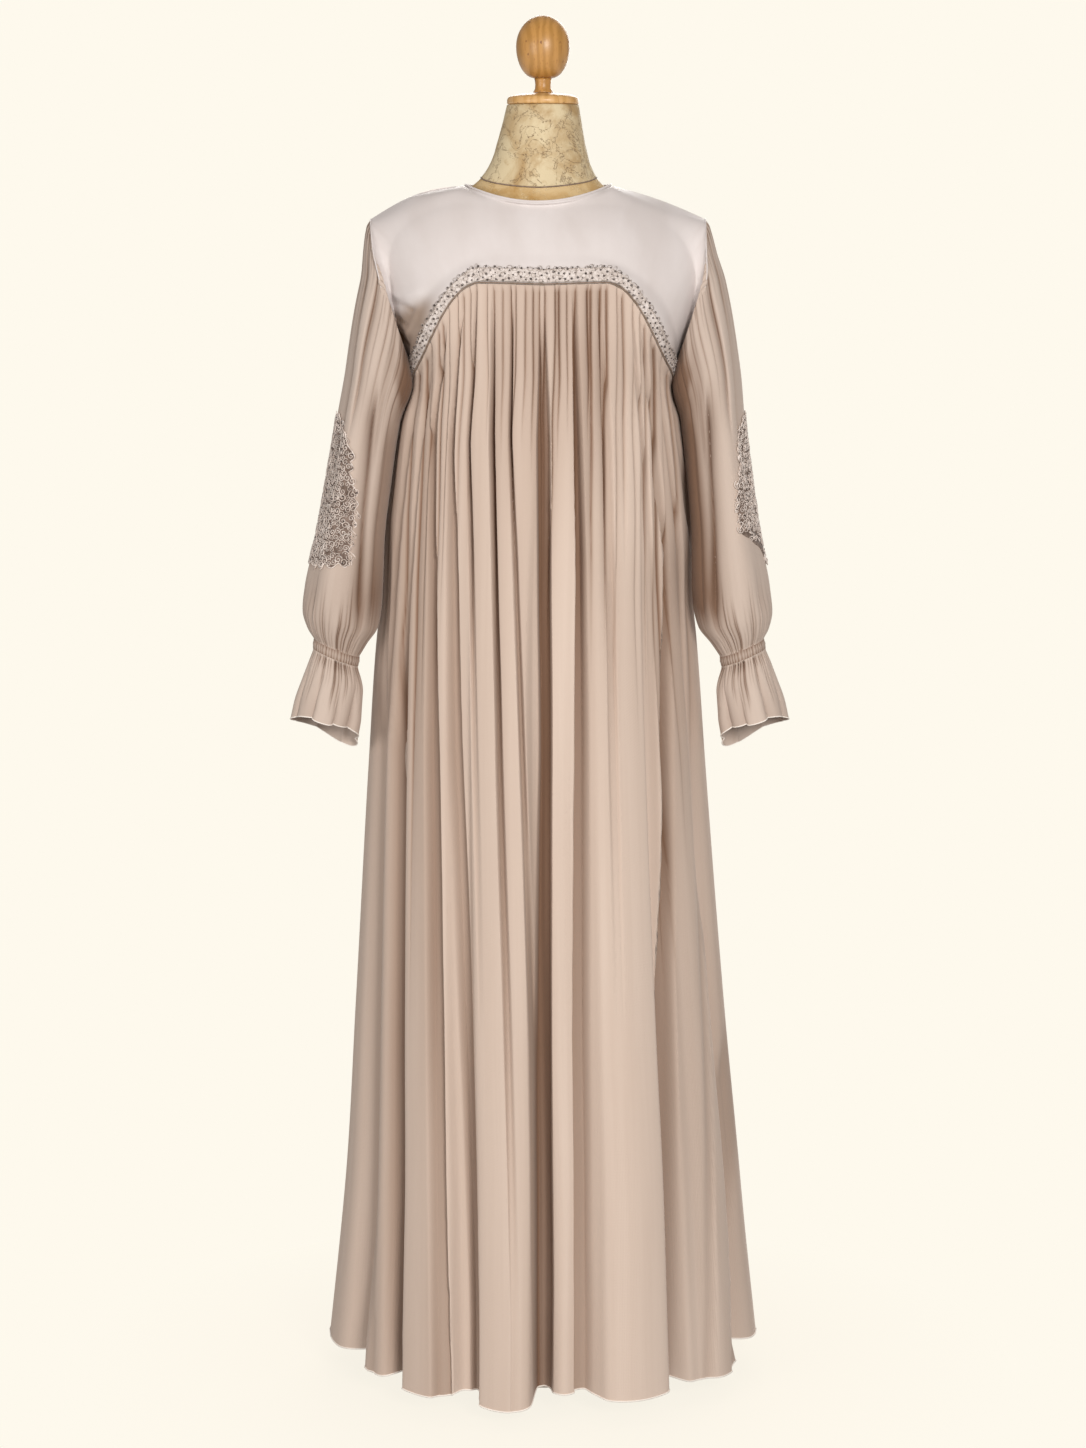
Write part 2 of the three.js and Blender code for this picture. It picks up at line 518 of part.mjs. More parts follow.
function sleeveInside(turn, v) {
  const wave = ({ count, depth, shift = 0 }) => depth * (0.5 - cos(count * turn + shift) / 2);
  return (
    wave(SLEEVE_FOLDS) * rise(v, SLEEVE_FOLDS) +
    wave(HEAD_PLEATS) * rise(v, HEAD_PLEATS) +
    wave(WRIST_PLEATS) * rise(v, WRIST_PLEATS)
  );
}

function sleevePoint(u, v) {
  const turn = -2 * PI * u;
  const p = ringPoint(sleeveAt(v), turn, sleeveInside(turn, v));
  const start = armholePoint(turn).sub(ringPoint(sleeveAt(0), turn, 0));
  return p.addScaledVector(start, 1 - ease(v / HEAD_PLEATS.peak));
}

function rufflePoint(u, v) {
  const turn = -2 * PI * u;
  const wave = cos(RUFFLE_FOLDS.count * turn);
  const p = ringPoint(ruffleAt(v), turn, RUFFLE_FOLDS.depth * ease(v / 0.8) * (0.5 - wave / 2));
  return p.setZ(p.z + ruffleAt(v).tilt * sin(turn) - RUFFLE_FOLDS.hemWave * ease(v) * (0.5 + wave / 2));
}

const cuffPoint = (u, v) => ringPoint(cuffAt(v), -2 * PI * u, 0);
const ROUND = steps(0, 1, SLEEVE_COLUMNS).slice(0, -1);

/** A point on the straight facets between the sleeve's rows. */
function sleeveFacetPoint(u, v) {
  const j = max(1, SLEEVE_ROWS.findIndex((row) => row >= v));
  const [above, below] = [SLEEVE_ROWS[j - 1], SLEEVE_ROWS[j]];
  return sleevePoint(u, above).lerp(sleevePoint(u, below), (v - above) / (below - above));
}

/** The lace lies on the sleeve's outer side. It is longest along its middle. */
function lace([front, back], mirrored) {
  const middle = (front + back) / 2;
  const places = steps(front, back, back - front).map((column) => column / SLEEVE_COLUMNS);
  const point = (u, w) => {
    const off = (u * SLEEVE_COLUMNS - middle) / (back - middle);
    const [from, to] = [LACE.from + LACE.pointed * off * off, LACE.to - LACE.hollow * off * off];
    return sleeveFacetPoint(u, w < 1 ? mix(from, LACE.middle, w) : mix(LACE.middle, to, w - 1));
  };
  const filled = { low: LACE.lift, high: LACE.lift + LACE.thick };
  return wall(point, places, [0, 1, 2], { ...filled, mirrored, leans: "sleeve" });
}

// Dress form.

/** The torso and neck: one smooth closed body of rings, capped flat at both ends. */
function torso() {
  const tallest = 38;
  const split = (z, i, all) => (i && z - all[i - 1] > tallest ? [(all[i - 1] + z) / 2, z] : [z]);
  const heights = FORM.map((row) => row.z).flatMap(split);
  const points = [];
  const index = [];
  for (const z of heights) {
    const at = formAt(z);
    for (let i = 0; i < FORM_COLUMNS; i++) {
      const turn = (2 * PI * i) / FORM_COLUMNS;
      const depth = cos(turn) > 0 ? at.front : at.back;
      const across = at.x + at.width * signedPow(sin(turn), 2 / at.power);
      points.push(across, -depth * signedPow(cos(turn), 2 / at.power), z);
    }
  }
  const id = (i, j) => j * FORM_COLUMNS + (i % FORM_COLUMNS);
  const top = heights.length - 1;
  for (let i = 0; i < FORM_COLUMNS; i++) {
    for (let j = 0; j < top; j++) {
      index.push(id(i, j), id(i + 1, j), id(i + 1, j + 1), id(i, j), id(i + 1, j + 1), id(i, j + 1));
    }
  }
  const low = points.push(FORM[0].x, 0, heights[0]) / 3 - 1;
  const high = points.push(0, 0, heights[top]) / 3 - 1;
  for (let i = 0; i < FORM_COLUMNS; i++) {
    index.push(low, id(i + 1, 0), id(i, 0));
    index.push(high, id(i, top), id(i + 1, top));
  }
  return solid(points, index);
}

/** A turned piece from a profile of [radius, height] corners that starts and ends on the axis. */
function turned(profile, columns = 36) {
  const corners = profile.map(([radius, z]) => new THREE.Vector2(radius, z));
  return new THREE.LatheGeometry(corners, columns).rotateX(PI / 2);
}

function capProfile() {
  const crown = steps(0, PI / 2, 4).map((a) => [CAP.radius * cos(a), mix(CAP.rim, CAP.high, sin(a))]);
  crown[crown.length - 1][0] = 0;
  return [[0, CAP.low], [CAP.radius, CAP.low], ...crown];
}

function finialProfile() {
  const { radius, low, widest, high, seat } = FINIAL;
  const quarter = steps(0, PI / 2, 7).slice(1);
  const under = quarter.map((a) => [mix(seat, radius, sin(a)), mix(widest, low, cos(a))]);
  const over = quarter.map((a) => [radius * cos(a), mix(widest, high, sin(a))]);
  over[over.length - 1][0] = 0;
  return [[0, low], [seat, low], ...under, ...over];
}

function baseProfile() {
  const { radius, edge, high, boss } = BASE;
  const rim = [[radius - 2, 0], [radius, 2], [radius, edge - 2], [radius - 3, edge]];
  return [[0, 0], ...rim, [boss, high], [0, high]];
}

const rod = ({ radius, low, high }) => [[0, low], [radius, low], [radius, high], [0, high]];

function piece(name, geometry, colour) {
  const mesh = new THREE.Mesh(geometry, new THREE.MeshStandardMaterial(COLOURS[colour]));
  mesh.name = name;
  return mesh;
}

const abaya = new THREE.Group();
abaya.add(
  piece("form_torso", torso(), "parchment"),
  piece("form_cap", turned(capProfile()), "beech"),
  piece("form_stem", turned(rod(STEM), 20), "beech"),
  piece("form_finial", turned(finialProfile(), 28), "beech"),
  piece("form_pole", turned(rod(POLE), 20), "steel"),
  piece("form_base", turned(baseProfile(), 48), "steel"),
  piece("yoke_front", yoke(-1), "satin"),
  piece("yoke_back", yoke(1), "satin"),
  piece("neck_binding", neckBinding(), "satin"),
  piece("beaded_trim", yokeStrip(TRIM), "thread"),
  piece("seam_piping", yokeStrip(PIPING), "thread"),
  piece("skirt_front", skirt(-1), "chiffon"),
  piece("skirt_back", skirt(1), "chiffon"),
);
for (const side of ["right", "left"]) {
  const mirrored = side === "right";
  const tube = { wrap: true, mirrored, leans: "sleeve" };
  abaya.add(
    piece(`sleeve_${side}`, wall(sleevePoint, ROUND, SLEEVE_ROWS, tube), "chiffon"),
    piece(`lace_${side}`, lace(LACE_COLUMNS[side], mirrored), "lace"),
    piece(`wrist_band_${side}`, wall(cuffPoint, ROUND, [0, 1], tube), "chiffon"),
    piece(`ruffle_${side}`, wall(rufflePoint, ROUND, [0, 0.2, 0.5, 0.8, 1], tube), "chiffon"),
  );
}

export default abaya;
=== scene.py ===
"""A floor-length gathered abaya on a limbless dress form: the visible model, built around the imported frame.

Tables and sizes are in millimetres, and MM turns them into metres. +Z is up and the wearer's front is towards -Y.
A cloth surface is a function of u, to the right as seen from outside, and v, downwards.
"""

import bmesh
import bpy
import numpy as np
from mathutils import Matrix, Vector


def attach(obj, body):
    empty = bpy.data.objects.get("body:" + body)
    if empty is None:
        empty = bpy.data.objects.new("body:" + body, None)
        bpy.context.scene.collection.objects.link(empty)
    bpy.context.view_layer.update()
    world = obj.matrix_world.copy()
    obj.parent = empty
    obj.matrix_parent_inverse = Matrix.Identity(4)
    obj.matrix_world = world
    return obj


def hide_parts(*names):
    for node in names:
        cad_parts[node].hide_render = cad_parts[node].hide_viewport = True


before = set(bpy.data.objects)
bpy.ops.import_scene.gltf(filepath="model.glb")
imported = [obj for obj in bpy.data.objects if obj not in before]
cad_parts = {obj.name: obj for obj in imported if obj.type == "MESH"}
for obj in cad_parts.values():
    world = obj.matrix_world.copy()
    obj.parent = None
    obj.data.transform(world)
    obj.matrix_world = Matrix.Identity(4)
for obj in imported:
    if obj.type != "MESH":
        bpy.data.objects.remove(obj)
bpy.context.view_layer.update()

MM = 0.001
PI = np.pi


def linked(made):
    """Puts a new object in the scene."""
    bpy.context.scene.collection.objects.link(made)
    return made


def cleared(owner):
    """The owner's node tree, switched on and emptied."""
    owner.use_nodes = True
    owner.node_tree.nodes.clear()
    return owner.node_tree


# Camera -------------------------------------------------------------------------------------------------------------

def place_camera():
    data = bpy.data.cameras.new("camera")
    data.lens = 85
    data.sensor_width = 36
    camera = linked(bpy.data.objects.new("camera", data))
    camera.location = (0, -4.2, 1.42)
    tilt = np.radians(8.17)
    camera.rotation_euler = (PI / 2 - tilt, 0, 0)
    bpy.context.scene.camera = camera


place_camera()


# Small helpers ------------------------------------------------------------------------------------------------------

def mix(a, b, t):
    return a + (b - a) * t


def ease(t):
    return (1 - np.cos(PI * np.clip(t, 0, 1))) / 2


def between(v, start, end):
    return ease((v - start) / (end - start))


def rise(v, start, peak, fades, gone):
    return between(v, start, peak) * (1 - between(v, fades, gone))


def signed_pow(x, p):
    return np.sign(x) * np.abs(x) ** p


def chance(k, seed):
    """A fixed random number from 0 to 1 for each whole number in k."""
    x = np.sin(np.asarray(k, float) * 12.9898 + seed * 78.233) * 43758.5453
    return x - np.floor(x)


def wander(x, seed, knots=1.0):
    """A smooth random wave from -1 to 1 along x, with one knot every 1 / knots."""
    x = np.asarray(x, float) * knots
    i = np.floor(x)
    return 2 * mix(chance(i, seed), chance(i + 1, seed), ease(x - i)) - 1


def vector(x, y, z):
    return np.stack(np.broadcast_arrays(x, y, z), -1).astype(float)


def length(v):
    return np.linalg.norm(v, axis=-1)


def unit(v):
    return v / np.maximum(length(v), 1e-9)[..., None]


def running(steps):
    """The distance run before each step and after the last."""
    return np.concatenate([[0], np.cumsum(steps)])


def table(names, rows):
    """Smooth curves through the columns of a table, by its first column, with no overshoot between its rows."""
    names = names.split()
    rows = np.array(rows, float)
    x = rows[:, 0]
    gap = np.diff(x)[:, None]
    climb = np.diff(rows, axis=0) / gap
    before = np.vstack([climb[:1], climb])
    after = np.vstack([climb, climb[-1:]])
    both = before * after
    total = before + after
    slope = np.where(both > 0, 2 * both / np.where(total == 0, 1, total), 0)

    def at(value):
        value = np.asarray(value, float)
        i = np.clip(np.searchsorted(x, value) - 1, 0, len(x) - 2)
        span = gap[i, 0]
        t = np.clip((value - x[i]) / span, 0, 1)
        a, b = 2 * t**3 - 3 * t**2 + 1, 3 * t**2 - 2 * t**3
        c, d = (t**3 - 2 * t**2 + t) * span, (t**3 - t**2) * span
        found = {}
        for k, name in enumerate(names):
            found[name] = rows[i, k] * a + slope[i, k] * c + rows[i + 1, k] * b + slope[i + 1, k] * d
        return found

    return at


# The garment's shape, as in the part's source -----------------------------------------------------------------------

NECK = {"half_width": 90, "front": 71.5, "back": 67, "side": 1477, "dip_front": 20.5, "dip_back": 5}
SHOULDER = {"x": 203, "z": 1437, "arch_right": 10, "arch_left": 3.5}
UNDERARM = {"x": 161, "z": 1262}
ARMHOLE_DEPTH = 62
EDGE_BAND = {"middle": 18, "side": 12}
NECK_END, SHOULDER_END, BAND_START = 1 / 3, 0.6, 0.8
SIDE_PANEL = (0.7, 0.94)
FOLD_START = 0.14
HEM_WIDTH = 275
HEM_CORNER = 39
# The share of a panel's length over which it leaves its seam.
SEAM_BLEND = 0.06

body_at = table("z width front back power", [
    (0, 275, 266, 262, 2.0), (234, 250, 245, 238, 2.0), (467, 231, 224, 213, 2.0), (772, 209, 196, 180, 2.0),
    (922, 198, 180, 160, 2.05), (1046, 182, 163, 140, 2.1), (1150, 170, 149, 122, 2.2), (1238, 160, 138, 110, 2.3),
    (1262, 161, 135, 108, 2.35), (1290, 173, 131, 107, 2.45), (1330, 191, 123, 106, 2.5),
    (1376, 205, 111, 102, 2.5), (1400, 209, 102, 96, 2.4), (1425, 208, 91, 89, 2.3), (1437, 203, 85, 84, 2.2),
    (1450, 188, 78, 79, 2.1), (1460, 166, 73, 75, 2.0), (1470, 130, 69, 71, 2.0), (1477, 90, 66, 66, 2.0),
])
lean_at = table("z body sleeve", [
    (0, 0, 0), (234, 0, 0), (467, -4, -4), (772, -7.5, -4), (900, -8, -4), (980, -7.5, -7), (1050, -6, -6),
    (1190, -3, -3), (1260, 0, 0), (1361, 0, 0), (1400, -4, -4), (1437, -6, -6), (1490, -6, -6),
])
yoke_edge_at = table("s x z", [
    (0, 0, 1359), (0.25, 75, 1361), (0.32, 92, 1355), (0.38, 105, 1343), (0.46, 117, 1326), (0.58, 131, 1299),
    (0.73, 146, 1269), (0.87, 156, 1250), (1, 160.4, 1238),
])
# Lines of the gathered skirt: place along the yoke's edge, place across the hem, depth inside the crests, hem height.
front_fold_at = table("seam hem depth low", [
    (-1, -275, 0, 39), (-0.97, -262, 6, 40), (-0.94, -250, 38, 44), (-0.92, -243, 56, 47), (-0.9, -238, 24, 40),
    (-0.87, -228, 6, 33), (-0.82, -203, 8, 34), (-0.79, -192, 46, 42), (-0.76, -186, 38, 38), (-0.73, -178, 4, 29),
    (-0.58, -140, 0, 27), (-0.42, -118, 7, 29), (-0.37, -109, 30, 33), (-0.29, -91, 32, 31), (-0.24, -80, 6, 24),
    (-0.13, -44, 0, 20), (-0.04, -17, 6, 24), (-0.005, -9, 44, 31), (0.015, 2, 54, 32), (0.04, 14, 42, 31),
    (0.09, 31, 34, 30), (0.14, 46, 40, 31), (0.18, 60, 42, 32), (0.215, 73, 26, 30),
    (0.24, 82, 9, 28), (0.33, 118, 0, 27),
    (0.43, 157, 5, 29), (0.46, 165, 32, 34), (0.49, 171, 52, 37), (0.53, 181, 34, 34), (0.58, 192, 14, 29),
    (0.62, 200, 16, 29), (0.7, 228, 2, 26), (0.77, 250, 6, 29), (0.8, 256, 34, 38), (0.83, 259, 54, 46),
    (0.88, 263, 42, 46), (0.94, 270, 8, 41), (1, 275, 0, 39),
])
back_fold_at = table("seam hem depth low", [
    (-1, -275, 0, 39), (-0.9, -260, 6, 36), (-0.8, -243, 48, 40), (-0.7, -222, 10, 32), (-0.56, -184, 0, 27),
    (-0.46, -154, 64, 36), (-0.39, -128, 70, 35), (-0.31, -104, 8, 24), (-0.21, -70, 0, 21), (-0.13, -46, 52, 30),
    (-0.07, -24, 58, 31), (-0.01, -6, 8, 22), (0.09, 30, 0, 20), (0.17, 56, 76, 34), (0.25, 82, 60, 32),
    (0.33, 106, 6, 23), (0.44, 144, 0, 25), (0.53, 170, 66, 36), (0.62, 194, 58, 36), (0.71, 218, 6, 29),
    (0.8, 238, 12, 32), (0.87, 250, 40, 38), (0.93, 262, 8, 36), (1, 275, 0, 39),
])
sleeve_at = table("v out_x out_z in_x in_z y deep", [
    (0, 203, 1437, 161, 1262, 0, 62), (0.035, 208, 1430, 165, 1253, 0, 65), (0.12, 217, 1390, 171, 1238, -2, 68),
    (0.24, 231, 1325, 173, 1212, -6, 68), (0.38, 243, 1245, 177, 1175, -12, 65), (0.54, 255, 1155, 182, 1110, -21, 61),
    (0.7, 270, 1060, 185, 1040, -34, 58), (0.83, 284, 995, 188, 980, -46, 55), (0.91, 287, 965, 195, 945, -53, 47),
    (0.96, 282, 945, 209.5, 925, -57, 37), (1, 274, 931, 220, 909, -60, 28),
])
cuff_at = table("v out_x out_z in_x in_z y deep", [
    (0, 274, 930.3, 220, 908.3, -60.2, 28), (1, 275.5, 920.5, 221.5, 898.5, -62.5, 28),
])
ruffle_at = table("v out_x out_z in_x in_z y deep tilt", [
    (0, 275.6, 919.8, 221.6, 897.8, -62.7, 28, 0), (0.35, 288, 889, 214, 865, -69, 34, 2),
    (0.7, 300, 859, 214, 832, -76, 38, 6), (1, 305, 837, 217, 808, -81, 40, 13),
])
form_at = table("z x width front back power", [
    (850, 0, 140, 92, 96, 2.0), (858, 0, 150, 100, 104, 2.0), (900, 0, 155, 104, 110, 2.0),
    (980, 0, 141, 98, 102, 2.0), (1070, 0, 120, 90, 84, 2.0), (1150, 0, 130, 101, 86, 2.1),
    (1238, 0, 146, 118, 92, 2.2), (1270, 0, 149, 121, 93, 2.2), (1300, 0, 155, 117, 94, 2.3),
    (1340, 0, 167, 109, 94, 2.35), (1376, -1, 179, 101, 92, 2.4), (1405, -4, 183, 87, 79, 2.15),
    (1425, -5.5, 180, 75, 71, 2.0), (1439, -6, 172, 66.5, 65, 1.85), (1449, -6, 157, 61.5, 62, 1.7),
    (1457.9, -6, 136, 57, 59.5, 1.6), (1465.2, -6, 110, 53.5, 57, 1.5), (1471, -6, 92, 52, 56, 1.5),
    (1476, -6, 81, 51, 55, 1.55), (1482, -5.5, 74, 50.5, 54, 1.65), (1488, -5, 68.5, 50, 53.5, 1.8),
    (1496, -4, 63.5, 49.5, 52.5, 1.95), (1508, -3, 58, 49, 51, 2.0), (1532, -2, 51.5, 47, 48, 2.0),
    (1573.6, 0, 42.5, 42, 42, 2.0),
])


def on_side(p, facing):
    """Keeps points of the front (-1) or back (1) on their side of the side and shoulder seams."""
    p[..., 1] = facing * np.maximum(0, facing * p[..., 1])
    return p


def leaning(p, hangs="body"):
    return p + vector(lean_at(p[..., 2])[hangs], 0, 0)


def depths(at, facing):
    return at["front"] if facing < 0 else at["back"]


def body_depth(x, z, facing):
    at = body_at(z)
    rest = np.clip(1 - np.clip(x / at["width"], 0, 1) ** at["power"], 0, 1)
    return depths(at, facing) * rest ** (1 / at["power"])


def armhole_bow(t):
    """How far the armhole bows outwards in front view, t from 0 at the shoulder to 1 under the arm."""
    return 11 * np.sin(PI * np.clip(t, 0, 1)) ** 1.2


def yoke_outline(e, facing, arch=0):
    """The yoke's upper outline from the centre (0) past the neck and the arched shoulder to the underarm (1)."""
    turn = np.clip(e / NECK_END, 0, 1) * PI / 2
    deep, dip = (NECK["front"], NECK["dip_front"]) if facing < 0 else (NECK["back"], NECK["dip_back"])
    neck = vector(NECK["half_width"] * np.sin(turn), facing * deep * np.cos(turn),
                  NECK["side"] - dip * np.cos(turn) ** 2)
    t = np.clip((e - NECK_END) / (SHOULDER_END - NECK_END), 0, 1)
    z = mix(NECK["side"], SHOULDER["z"], t) + arch * np.sin(PI * t)
    shoulder = vector(mix(NECK["half_width"], SHOULDER["x"], t), 0, z)
    turn = np.clip((e - SHOULDER_END) / (1 - SHOULDER_END), 0, 1) * PI
    t = (1 - np.cos(turn)) / 2
    armhole = vector(mix(SHOULDER["x"], UNDERARM["x"], t) + armhole_bow(t), facing * ARMHOLE_DEPTH * np.sin(turn),
                     mix(SHOULDER["z"], UNDERARM["z"], t))
    e = np.broadcast_to(e, neck.shape[:-1])[..., None]
    return np.where(e <= NECK_END, neck, np.where(e <= SHOULDER_END, shoulder, armhole))


def band_height(e):
    return mix(EDGE_BAND["middle"], EDGE_BAND["side"], e**3)


def in_band(share):
    return mix(BAND_START, 1, share)


def yoke_point(x_side, v, facing):
    """A point of the yoke: x_side from -1 to 1 towards +X, v from 0 at the upper outline to 1 at the lower edge."""
    x_side, v = np.broadcast_arrays(np.asarray(x_side, float), np.asarray(v, float))
    e = np.clip(np.abs(x_side), 0, 1)
    top = yoke_outline(e, facing, np.where(x_side < 0, SHOULDER["arch_right"], SHOULDER["arch_left"]))
    edge = yoke_edge_at(e)
    band = band_height(e) / np.hypot(top[..., 0] - edge["x"], top[..., 2] - edge["z"])
    t = np.where(v < BAND_START, v / BAND_START * (1 - band), 1 - band * (1 - v) / (1 - BAND_START))
    x, z = mix(top[..., 0], edge["x"], t), mix(top[..., 2], edge["z"], t)
    lift = facing * top[..., 1] - body_depth(top[..., 0], top[..., 2], facing)
    rounded = body_depth(x, z, facing) + lift * np.clip(1 - t, 0, 1) ** 2
    straight = mix(facing * top[..., 1], body_depth(edge["x"], edge["z"], facing), t)
    y = facing * mix(rounded, straight, between(e, *SIDE_PANEL))
    return on_side(vector(np.where(x_side < 0, -x, x), y, z), facing)


def ring_point(at, turn, inside):
    centre = vector((at["out_x"] + at["in_x"]) / 2, at["y"], (at["out_z"] + at["in_z"]) / 2)
    half = vector((at["out_x"] - at["in_x"]) / 2, 0, (at["out_z"] - at["in_z"]) / 2)
    spoke = half * np.cos(turn)[..., None] - vector(0, at["deep"] * np.sin(turn), 0)
    return centre + spoke * (1 - inside / length(spoke))[..., None]


def armhole_point(turn, clear=0.0):
    """The armhole, turn 0 at the shoulder, with its front where sin(turn) is above 0. clear is towards the sleeve."""
    t = (1 - np.cos(turn)) / 2
    away = unit(np.array([SHOULDER["z"] - UNDERARM["z"], 0, UNDERARM["x"] - SHOULDER["x"]], float))
    x, z = mix(SHOULDER["x"], UNDERARM["x"], t) + armhole_bow(t), mix(SHOULDER["z"], UNDERARM["z"], t)
    return vector(x, -ARMHOLE_DEPTH * np.sin(turn), z) + away * clear


# Cloth meshes -------------------------------------------------------------------------------------------------------

def mesh_object(name, points, faces, finish, uv=None, deep=None, rims=0):
    """An object from points in mm and quads. uv holds each face corner's place on the cloth in metres.
    The deep attribute holds each point's painted shade.

    The last rims faces are the cloth's cut edges. Their own edges are sharp, so that the shading turns there.
    """
    mesh = bpy.data.meshes.new(name)
    mesh.vertices.add(len(points))
    mesh.vertices.foreach_set("co", np.ascontiguousarray(points * MM, np.float32).ravel())
    mesh.loops.add(faces.size)
    mesh.loops.foreach_set("vertex_index", faces.astype(np.int32).ravel())
    mesh.polygons.add(len(faces))
    mesh.polygons.foreach_set("loop_start", np.arange(0, faces.size, faces.shape[1], dtype=np.int32))
    mesh.update(calc_edges=True)
    mesh.shade_smooth()
    if rims:
        edges = np.empty(faces.size, np.int32)
        mesh.loops.foreach_get("edge_index", edges)
        sharp = np.zeros(len(mesh.edges), bool)
        sharp[edges[-rims * faces.shape[1]:]] = True
        mesh.attributes.new("sharp_edge", "BOOLEAN", "EDGE").data.foreach_set("value", sharp)
    mesh.validate()
    if uv is not None:
        layer = mesh.uv_layers.new(name="cloth")
        layer.uv.foreach_set("vector", np.ascontiguousarray(uv, np.float32).ravel())
    # The deep attribute carries painted shade, which the cloth finishes mix in.
    if deep is not None:
        attribute = mesh.attributes.new("deep", "FLOAT", "POINT")
        attribute.data.foreach_set("value", np.ascontiguousarray(deep, np.float32).ravel())
    mesh.materials.append(finish)
    return linked(bpy.data.objects.new(name, mesh))


def outward(points, wrap=False):
    """Unit normals of a grid whose columns run to the right as seen from outside and whose rows run down."""
    if wrap:
        across = np.roll(points, -1, axis=0) - np.roll(points, 1, axis=0)
    else:
        across = np.gradient(points, axis=0)
    return unit(np.cross(np.gradient(points, axis=1), across))


def hung(points, mirrored=False, leans="body"):
    """Turns a grid of the left-hand piece into the right-hand one where asked, and leans it as the garment leans."""
    if mirrored:
        points = points[::-1] * np.array([-1, 1, 1])
    return leaning(points, leans)


def quads(corners, vertex, along):
    """Faces, and each corner's place on the cloth, from four (column, row, ...) sets of equal arrays.

    vertex numbers a set's points, and along gives the distance to each column and to each row.
    """
    faces = np.stack([vertex(*c).ravel() for c in corners], -1)
    return faces, np.stack([np.stack([along[0][c[0]].ravel(), along[1][c[1]].ravel()], -1) for c in corners], 1)


def grid(columns, rows):
    return np.meshgrid(np.arange(columns), np.arange(rows), indexing="ij")


def cloth(name, points, finish, thick, wrap=False, mirrored=False, leans="body", lift=0.0, deep=None):
    """A closed shell of cloth whose outer face lies lift mm outside a grid of points, with deep as its painted shade.
    """
    normal = outward(points, wrap)
    outer = hung(points + normal * lift, mirrored, leans)
    inner = hung(points + normal * (lift - thick), mirrored, leans)
    if deep is None:
        deep = np.zeros(points.shape[:2])
    deep = np.broadcast_to(deep, points.shape[:2])
    deep = deep[::-1] if mirrored else deep
    columns, rows = points.shape[:2]
    last = columns if wrap else columns - 1
    i, j = grid(last, rows - 1)

    def corner(column, row, layer):
        return layer * columns * rows + column % columns * rows + row

    closed = np.concatenate([outer, outer[:1]]) if wrap else outer
    along = (running(length(np.diff(closed, axis=0)).mean(axis=1)) * MM,
             running(length(np.diff(outer, axis=1)).mean(axis=0)) * MM)
    faces, uvs = [], []

    def add_faces(corners):
        for kept, new in zip((faces, uvs), quads(corners, corner, along)):
            kept.append(new)

    add_faces([(i, j, 0), (i, j + 1, 0), (i + 1, j + 1, 0), (i + 1, j, 0)])
    add_faces([(i, j, 1), (i + 1, j, 1), (i + 1, j + 1, 1), (i, j + 1, 1)])
    i, top = np.arange(last), np.zeros(last, int)
    low = top + rows - 1
    add_faces([(i, top, 0), (i + 1, top, 0), (i + 1, top, 1), (i, top, 1)])
    add_faces([(i, low, 0), (i, low, 1), (i + 1, low, 1), (i + 1, low, 0)])
    if not wrap:
        j, first = np.arange(rows - 1), np.zeros(rows - 1, int)
        end = first + last
        add_faces([(first, j, 0), (first, j, 1), (first, j + 1, 1), (first, j + 1, 0)])
        add_faces([(end, j, 0), (end, j + 1, 0), (end, j + 1, 1), (end, j, 1)])
    both = np.concatenate([outer.reshape(-1, 3), inner.reshape(-1, 3)])
    # The inner face takes 0.3 of the painted shade.
    shade = np.concatenate([deep.ravel(), 0.3 * deep.ravel()])
    rims = sum(len(part) for part in faces[2:])
    return mesh_object(name, both, np.concatenate(faces), finish, np.concatenate(uvs), shade, rims)


def roll(name, path, radius, finish, closed=False, sides=8, tall=1.0):
    """A rolled edge or cord along a path of points in mm. tall stretches its section upwards."""
    path = np.asarray(path, float)
    if closed:
        along = unit(np.roll(path, -1, axis=0) - np.roll(path, 1, axis=0))
    else:
        along = unit(np.gradient(path, axis=0))
    up = np.array([0, 0, 1.0]) - along * along[:, 2:]
    steep = length(up) < 0.2
    up = np.where(steep[:, None], np.array([0, -1.0, 0]) + along * along[:, 1:2], up)
    up = unit(up)
    out = np.cross(along, up)
    round_ = 2 * PI * np.arange(sides) / sides
    ring = up[:, None] * (np.sin(round_) * tall)[None, :, None] + out[:, None] * np.cos(round_)[None, :, None]
    points = path[:, None] + ring * np.broadcast_to(radius, len(path))[:, None, None]
    n = len(path)
    i, k = grid(n if closed else n - 1, sides)
    along_path = running(length(np.diff(np.concatenate([path, path[:1]]), axis=0))) * MM
    around = 2 * PI * np.mean(radius) * np.arange(sides + 1) / sides * MM
    faces, uv = quads([(i, k), (i + 1, k), (i + 1, k + 1), (i, k + 1)],
                      lambda a, b: a % n * sides + b % sides, (along_path, around))
    return closed_up(mesh_object(name, points.reshape(-1, 3), faces, finish, uv))


def closed_up(piece):
    """Fills any open end, and turns every face outwards."""
    work = bmesh.new()
    work.from_mesh(piece.data)
    bmesh.ops.holes_fill(work, edges=[edge for edge in work.edges if edge.is_boundary], sides=0)
    bmesh.ops.recalc_face_normals(work, faces=work.faces)
    work.to_mesh(piece.data)
    work.free()
    return piece


def turned(name, profile, finish, columns=96):
    """A piece turned on a lathe round the z axis, from (radius, height) pairs in mm from the bottom up."""
    profile = np.asarray(profile, float)
    turn = 2 * PI * np.arange(columns) / columns
    radius, z = profile[:, 0], profile[:, 1]
    points = vector(np.sin(turn)[:, None] * radius, -np.cos(turn)[:, None] * radius, z[None, :] + 0 * turn[:, None])
    return skin(name, points, finish)


